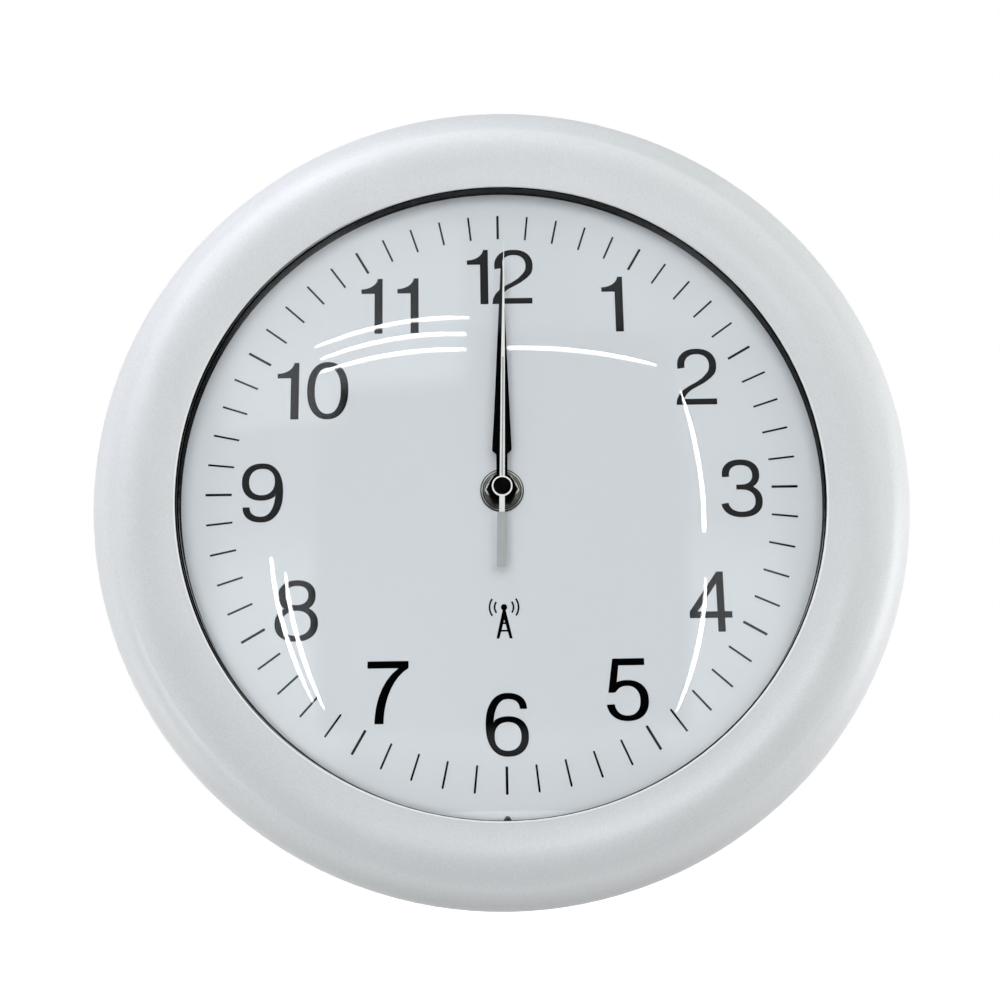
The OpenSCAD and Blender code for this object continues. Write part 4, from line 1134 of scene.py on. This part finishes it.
@dataclass(frozen=True)
class Streak:
    """A narrow lamp strip: three points that it passes, across and up, and how it thins and reaches out."""

    name: str
    start: Pair
    middle: Pair
    end: Pair
    thin: Pair
    reach: Pair = (0.05, 0.05)
    taper: float = 0.4

    def at(self, share: float) -> Vector:
        """A point of the smooth curve through the three points.

        Args:
            share: how far along it is, from nought to one.
        Returns:
            The point across and up, in millimetres.
        """
        t = share * (1 + self.reach[0] + self.reach[1]) - self.reach[0]
        return (1 - t) * (1 - 2 * t) * Vector(self.start) + 4 * t * (1 - t) * Vector(self.middle) \
            + t * (2 * t - 1) * Vector(self.end)

    def width(self, share: float) -> float:
        """How wide it is there, as a share of its full width."""
        start, end = (max(0.0, 1 - gap / self.taper) ** 2 for gap in (share, 1 - share))
        return 1 - (1 - self.thin[0]) * start - (1 - self.thin[1]) * end


@dataclass(frozen=True)
class Lamp:
    """A soft square lamp that faces the clock: its place and side in metres, and its power in watts."""

    name: str
    at: Point
    side: float
    power: float
    lit: Lit = Lit.ALL_BUT_RIM
    tint: Colour = (1.0, 0.995, 0.985)

    def build(self) -> None:
        """Hangs the lamp, which shows in no gloss, and ties it to what it lights."""
        data = bpy.data.lights.new(self.name, "AREA")
        data.size = self.side
        data.energy = self.power
        data.color = self.tint
        made = bpy.data.objects.new(self.name, data)
        aim = Vector(self.at).to_track_quat("Z", "Y").to_matrix().to_4x4()
        made.matrix_world = Matrix.Translation(self.at) @ aim
        made.visible_camera = False
        made.visible_glossy = False
        made.visible_transmission = False
        bpy.context.scene.collection.objects.link(made)
        chosen = bpy.data.collections.new("lit_by_" + self.name)
        made.light_linking.receiver_collection = chosen
        chosen.objects.link(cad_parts["rim"])
        chosen.collection_objects[0].light_linking.link_state = self.lit.value


def stage_piece(name: str, shade: Shade, corners: Sequence[Point],
                faces: Sequence[Sequence[int]] = ((0, 1, 2, 3),),
                sides: Sequence[Pair] = ((0, 0), (1, 0), (1, 1), (0, 1))) -> bpy.types.Object:
    """Adds something that belongs to the studio; unless told otherwise, a flat sheet of four corners.

    Args:
        name: its name.
        shade: its material's shade.
        corners: its vertices, in metres.
        faces: corner numbers of each face.
        sides: each vertex's place on the sheet, from nought to one both ways.
    Returns:
        The object.
    """
    mesh = bpy.data.meshes.new(name)
    mesh.from_pydata(corners, [], faces)
    uv = mesh.uv_layers.new(name="sheet")
    for loop in mesh.loops:
        uv.data[loop.index].uv = sides[loop.vertex_index]
    mesh.materials.append(shade.owner)
    made = bpy.data.objects.new(name, mesh)
    bpy.context.scene.collection.objects.link(made)
    return made


def only_mirrored(thing: bpy.types.Object) -> None:
    """Makes a studio piece show only in gloss and glass.

    Args:
        thing: the piece.
    """
    thing.visible_camera = False
    thing.visible_diffuse = False
    thing.visible_shadow = False


@dataclass(frozen=True)
class CameraCard:
    """The pale card round the camera, which the glass mirrors: a dark hole, and a softbox at its upper left.

    Places and sizes are in millimetres. A pair that ends in across, up or beside says where a change of light
    starts and where it is complete.
    """

    plane: float = -495.0
    half: Pair = (560.0, 580.0)
    middle_up: float = 160.0
    glow_half: Pair = (410.0, 420.0)
    glow_middle_up: float = 150.0
    fade: float = 60.0
    tint: Colour = (0.95, 1.0, 1.05)
    hole_sides: Pair = (-218.0, 222.0)
    hole_ends: Pair = (-185.0, 310.0)
    hole_fade: float = 26.0
    pale: float = 0.28
    low_more: float = 0.56
    low_up: Pair = (80.0, -20.0)
    low_beside: Pair = (-40.0, 0.0)
    top_more: float = 0.15
    top_across: Pair = (85.0, 140.0)
    top_up: Pair = (310.0, 370.0)
    box_level: float = 0.92
    box_across: Pair = (-20.0, -60.0)
    box_up: Pair = (222.0, 262.0)
    corner_across: Pair = (-185.0, -225.0)
    corner_up: Pair = (180.0, 216.0)
    box_less: float = 0.28
    less_up: Pair = (290.0, 380.0)

    def level(self, across: Sock, up: Sock) -> Sock:
        """How bright the card is.

        Args:
            across: the point's place across, in millimetres.
            up: its place up.
        Returns:
            Nought for black and one for full.
        """
        (left, right), (low, high) = self.hole_sides, self.hole_ends
        beside, above = (across - right).larger(left - across), (up - high).larger(low - up)
        off_hole = (beside.larger(0.0) ** 2.0 + above.larger(0.0) ** 2.0) ** 0.5
        low_sides = up.step(*self.low_up) * beside.step(*self.low_beside)
        top_right = across.step(*self.top_across) * up.step(*self.top_up)
        pale = self.pale + self.low_more * low_sides + self.top_more * top_right
        corner = up.step(*self.corner_up) * across.step(*self.corner_across)
        softbox = (self.box_level - self.box_less * up.step(*self.less_up)) * across.step(*self.box_across)
        softbox = softbox * up.step(*self.box_up).larger(corner)
        return (pale * off_hole.step(0.0, self.hole_fade)).larger(softbox)

    def build(self) -> None:
        """Hangs the card, clear beyond its edges."""
        shade = Shade(bpy.data.materials.new("camera_card"))
        place = shade.place()
        across, up = shade.along(place, Axis.ACROSS), shade.along(place, Axis.UP)

        def within(half: Pair, middle: float) -> Sock:
            """One on a part of the card, fading out at its edges."""
            return abs(across).step(half[0], half[0] - self.fade) \
                * abs(up - middle).step(half[1], half[1] - self.fade)

        level = self.level(across, up) * within(self.glow_half, self.glow_middle_up)
        glow = shade.glow(shade.mix(level, BLACK, self.tint))
        shade.end(shade.over_clear(within(self.half, self.middle_up), glow))
        wide, tall = self.half
        corners = [(i * wide * MM, self.plane * MM, (self.middle_up + j * tall) * MM) for i, j in CORNERS]
        only_mirrored(stage_piece("camera_card", shade, corners))


@dataclass
class Studio:
    """A plain pale floor, a white surround, soft lamps, and the camera where the photograph was taken.

    Places are in metres, and the strips' width is in millimetres. Right, up and ahead are the camera's own
    directions.
    """

    floor_z: float = -0.30
    floor_half: float = 40.0
    floor_base: Colour = (0.36, 0.36, 0.36)
    floor_glow: float = 0.74
    near_more: float = 0.14
    near_mm: Pair = (350.0, 800.0)
    far_more: float = 0.03
    far_mm: Pair = (1000.0, 4000.0)
    light_below: Colour = (0.30, 0.305, 0.31)
    light_above: Colour = (0.35, 0.355, 0.36)
    light_rise: Pair = (-0.4, 0.8)
    lens_mm: float = 45.489
    camera_at: Point = (-0.004147, -0.491552, -0.105695)
    right: Point = (0.99986, -0.00357, -0.01635)
    up: Point = (0.01519, -0.21650, 0.97617)
    ahead: Point = (0.00702, 0.97628, 0.21641)
    lamp_plane: float = -0.491
    strip_width: float = 6.6
    strip_glow: float = 30.0
    strip_steps: int = 40
    strip_fade: float = 0.05
    strip_edge: Pair = (0.5, 0.25)
    card: CameraCard = CameraCard()
    lamps: tuple[Lamp, ...] = (
        Lamp("dial_left", (-0.85, -3.75, 0.8), 2.4, 42.0),
        Lamp("dial_right", (0.85, -3.75, 0.8), 2.4, 43.0),
        Lamp("dial_low", (-0.10, -0.65, -0.20), 0.2, 0.97),
        Lamp("rim_left", (-0.5, -0.25, -0.23), 0.12, 1.30, Lit.RIM, (1.01, 1.01, 0.98)),
        Lamp("rim_top", (-0.17, -0.25, 0.21), 0.2, 0.55, Lit.RIM, (0.98, 0.97, 1.05)),
        Lamp("rim_near", (0.16, -0.35, 0.12), 0.15, 0.28, Lit.RIM, (0.98, 1.08, 0.93)),
        Lamp("rim_right", (0.5, -0.25, -0.08), 0.2, 1.54, Lit.RIM, (1.02, 0.99, 0.99)),
        Lamp("rear", (0.5, 1.6, 0.9), 0.8, 18.0))
    streaks: tuple[Streak, ...] = (
        Streak("top_right", (19.9, 290.1), (111.1, 287.0), (204.6, 273.9), (0.9, 0.5)),
        Streak("top_left_low", (-227.7, 273.7), (-135.3, 288.4), (-46.0, 289.6), (0.35, 0.8)),
        Streak("top_left_mid", (-229.5, 295.3), (-136.5, 313.1), (-46.2, 314.3), (0.4, 0.8)),
        Streak("top_left_high", (-238.7, 316.6), (-139.2, 338.3), (-42.4, 341.7), (0.4, 0.6)),
        Streak("right_up", (241.9, 229.6), (255.7, 137.0), (257.1, 50.1), (0.3, 0.9)),
        Streak("right_low", (255.6, -19.4), (245.1, -93.8), (221.1, -167.6), (0.35, 0.2), (0.05, 0.10)),
        Streak("left_out", (-288.8, 15.7), (-270.9, -70.5), (-238.0, -155.4), (0.8, 0.2)),
        Streak("left_in", (-268.7, -4.4), (-252.4, -84.6), (-223.5, -164.1), (0.45, 0.2)))

    def camera(self) -> None:
        """Places the camera."""
        data = bpy.data.cameras.new("camera")
        data.lens = self.lens_mm
        data.sensor_width = 36.0
        data.clip_start = 0.01
        camera = bpy.data.objects.new("camera", data)
        back = tuple(-part for part in self.ahead)
        turn = Matrix((self.right, self.up, back)).transposed().to_4x4()
        camera.matrix_world = Matrix.Translation(self.camera_at) @ turn
        bpy.context.scene.collection.objects.link(camera)
        bpy.context.scene.camera = camera

    def seen(self, shade: Shade) -> Sock:
        """One for rays that the eye follows: straight, mirrored or through glass."""
        return shade.ray("Camera").larger(shade.ray("Glossy")).larger(shade.ray("Transmission"))

    def surround(self) -> None:
        """White to the eye, and a level light that is a little stronger from above."""
        world = bpy.data.worlds.new("surround")
        bpy.context.scene.world = world
        shade = Shade(world)
        height = shade.along(shade.node("ShaderNodeTexCoord", out="Generated"), Axis.UP)
        level = shade.mix(height.step(*self.light_rise), self.light_below, self.light_above)
        colour = shade.mix(self.seen(shade), level, WHITE)
        shade.end(shade.node("ShaderNodeBackground", sockets={"Color": colour}), "ShaderNodeOutputWorld")

    def floor(self) -> None:
        """A pale floor that keeps shadows, white where the eye meets it unshaded."""
        shade = Shade(bpy.data.materials.new("studio_floor"))
        place = shade.place()
        tooth = shade.noise(place, per_mm=0.02)
        matt = shade.surface({"Base Color": shade.toned(self.floor_base, tooth, spread=0.01),
                              "Roughness": 0.9, "Specular IOR Level": 0.0})
        away = shade.node("ShaderNodeVectorMath", {"operation": "LENGTH"}, {0: place}, "Value")
        level = self.floor_glow + self.near_more * away.step(*self.near_mm) \
            + self.far_more * away.step(*self.far_mm)
        glow = shade.glow(shade.mix(level * self.seen(shade), BLACK, WHITE))
        shade.end(shade.node("ShaderNodeAddShader", sockets={0: matt, 1: glow}))
        half = self.floor_half
        stage_piece("studio_floor", shade, [(i * half, j * half, self.floor_z) for i, j in CORNERS])

    def strip(self, streak: Streak) -> None:
        """A lamp strip beside the camera that the glass mirrors as a streak.

        Args:
            streak: its line and widths.
        """
        corners, sides = [], []
        step = 0.01
        for i in range(self.strip_steps + 1):
            share = i / self.strip_steps
            ahead = (streak.at(share + step) - streak.at(share - step)).normalized()
            square = Vector((-ahead.y, ahead.x)) * streak.width(share) * self.strip_width / 2
            for j, side in enumerate((-1, 1)):
                point = (streak.at(share) + side * square) * MM
                corners.append((point.x, self.lamp_plane, point.y))
                sides.append((share, float(j)))
        faces = [(2 * i, 2 * i + 1, 2 * i + 3, 2 * i + 2) for i in range(self.strip_steps)]
        shade = Shade(bpy.data.materials.new("lamp_" + streak.name))
        sheet = shade.node("ShaderNodeUVMap", {"uv_map": "sheet"})
        along, across = shade.along(sheet, Axis.ACROSS), shade.along(sheet, Axis.DEEP)
        ends = along.step(0.0, self.strip_fade) * along.step(1.0, 1 - self.strip_fade)
        soft = abs(across - 0.5).step(*self.strip_edge) * ends
        shade.end(shade.over_clear(soft, shade.glow(WHITE, self.strip_glow)))
        only_mirrored(stage_piece("lamp_" + streak.name, shade, corners, faces, sides))

    def build(self) -> None:
        """Sets up the camera, surround, floor, lamps and what the glass mirrors."""
        bpy.context.scene.view_settings.view_transform = "Standard"
        self.camera()
        self.surround()
        self.floor()
        for lamp in self.lamps:
            lamp.build()
        self.card.build()
        for streak in self.streaks:
            self.strip(streak)
        LOG.info("studio: camera, floor, %d lamps, %d strips", len(self.lamps), len(self.streaks))


def main() -> None:
    """Dresses each sub-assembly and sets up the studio."""
    logging.basicConfig(level=logging.INFO, format="%(name)s %(message)s")
    for part in (Frame(), Glazing(), Dial(), CentreFixing(), Hands(), BackPlate(), Movement(), Battery(),
                 Buttons(), Hanger()):
        part.build()
    Studio().build()


if __name__ == "__main__":
    main()
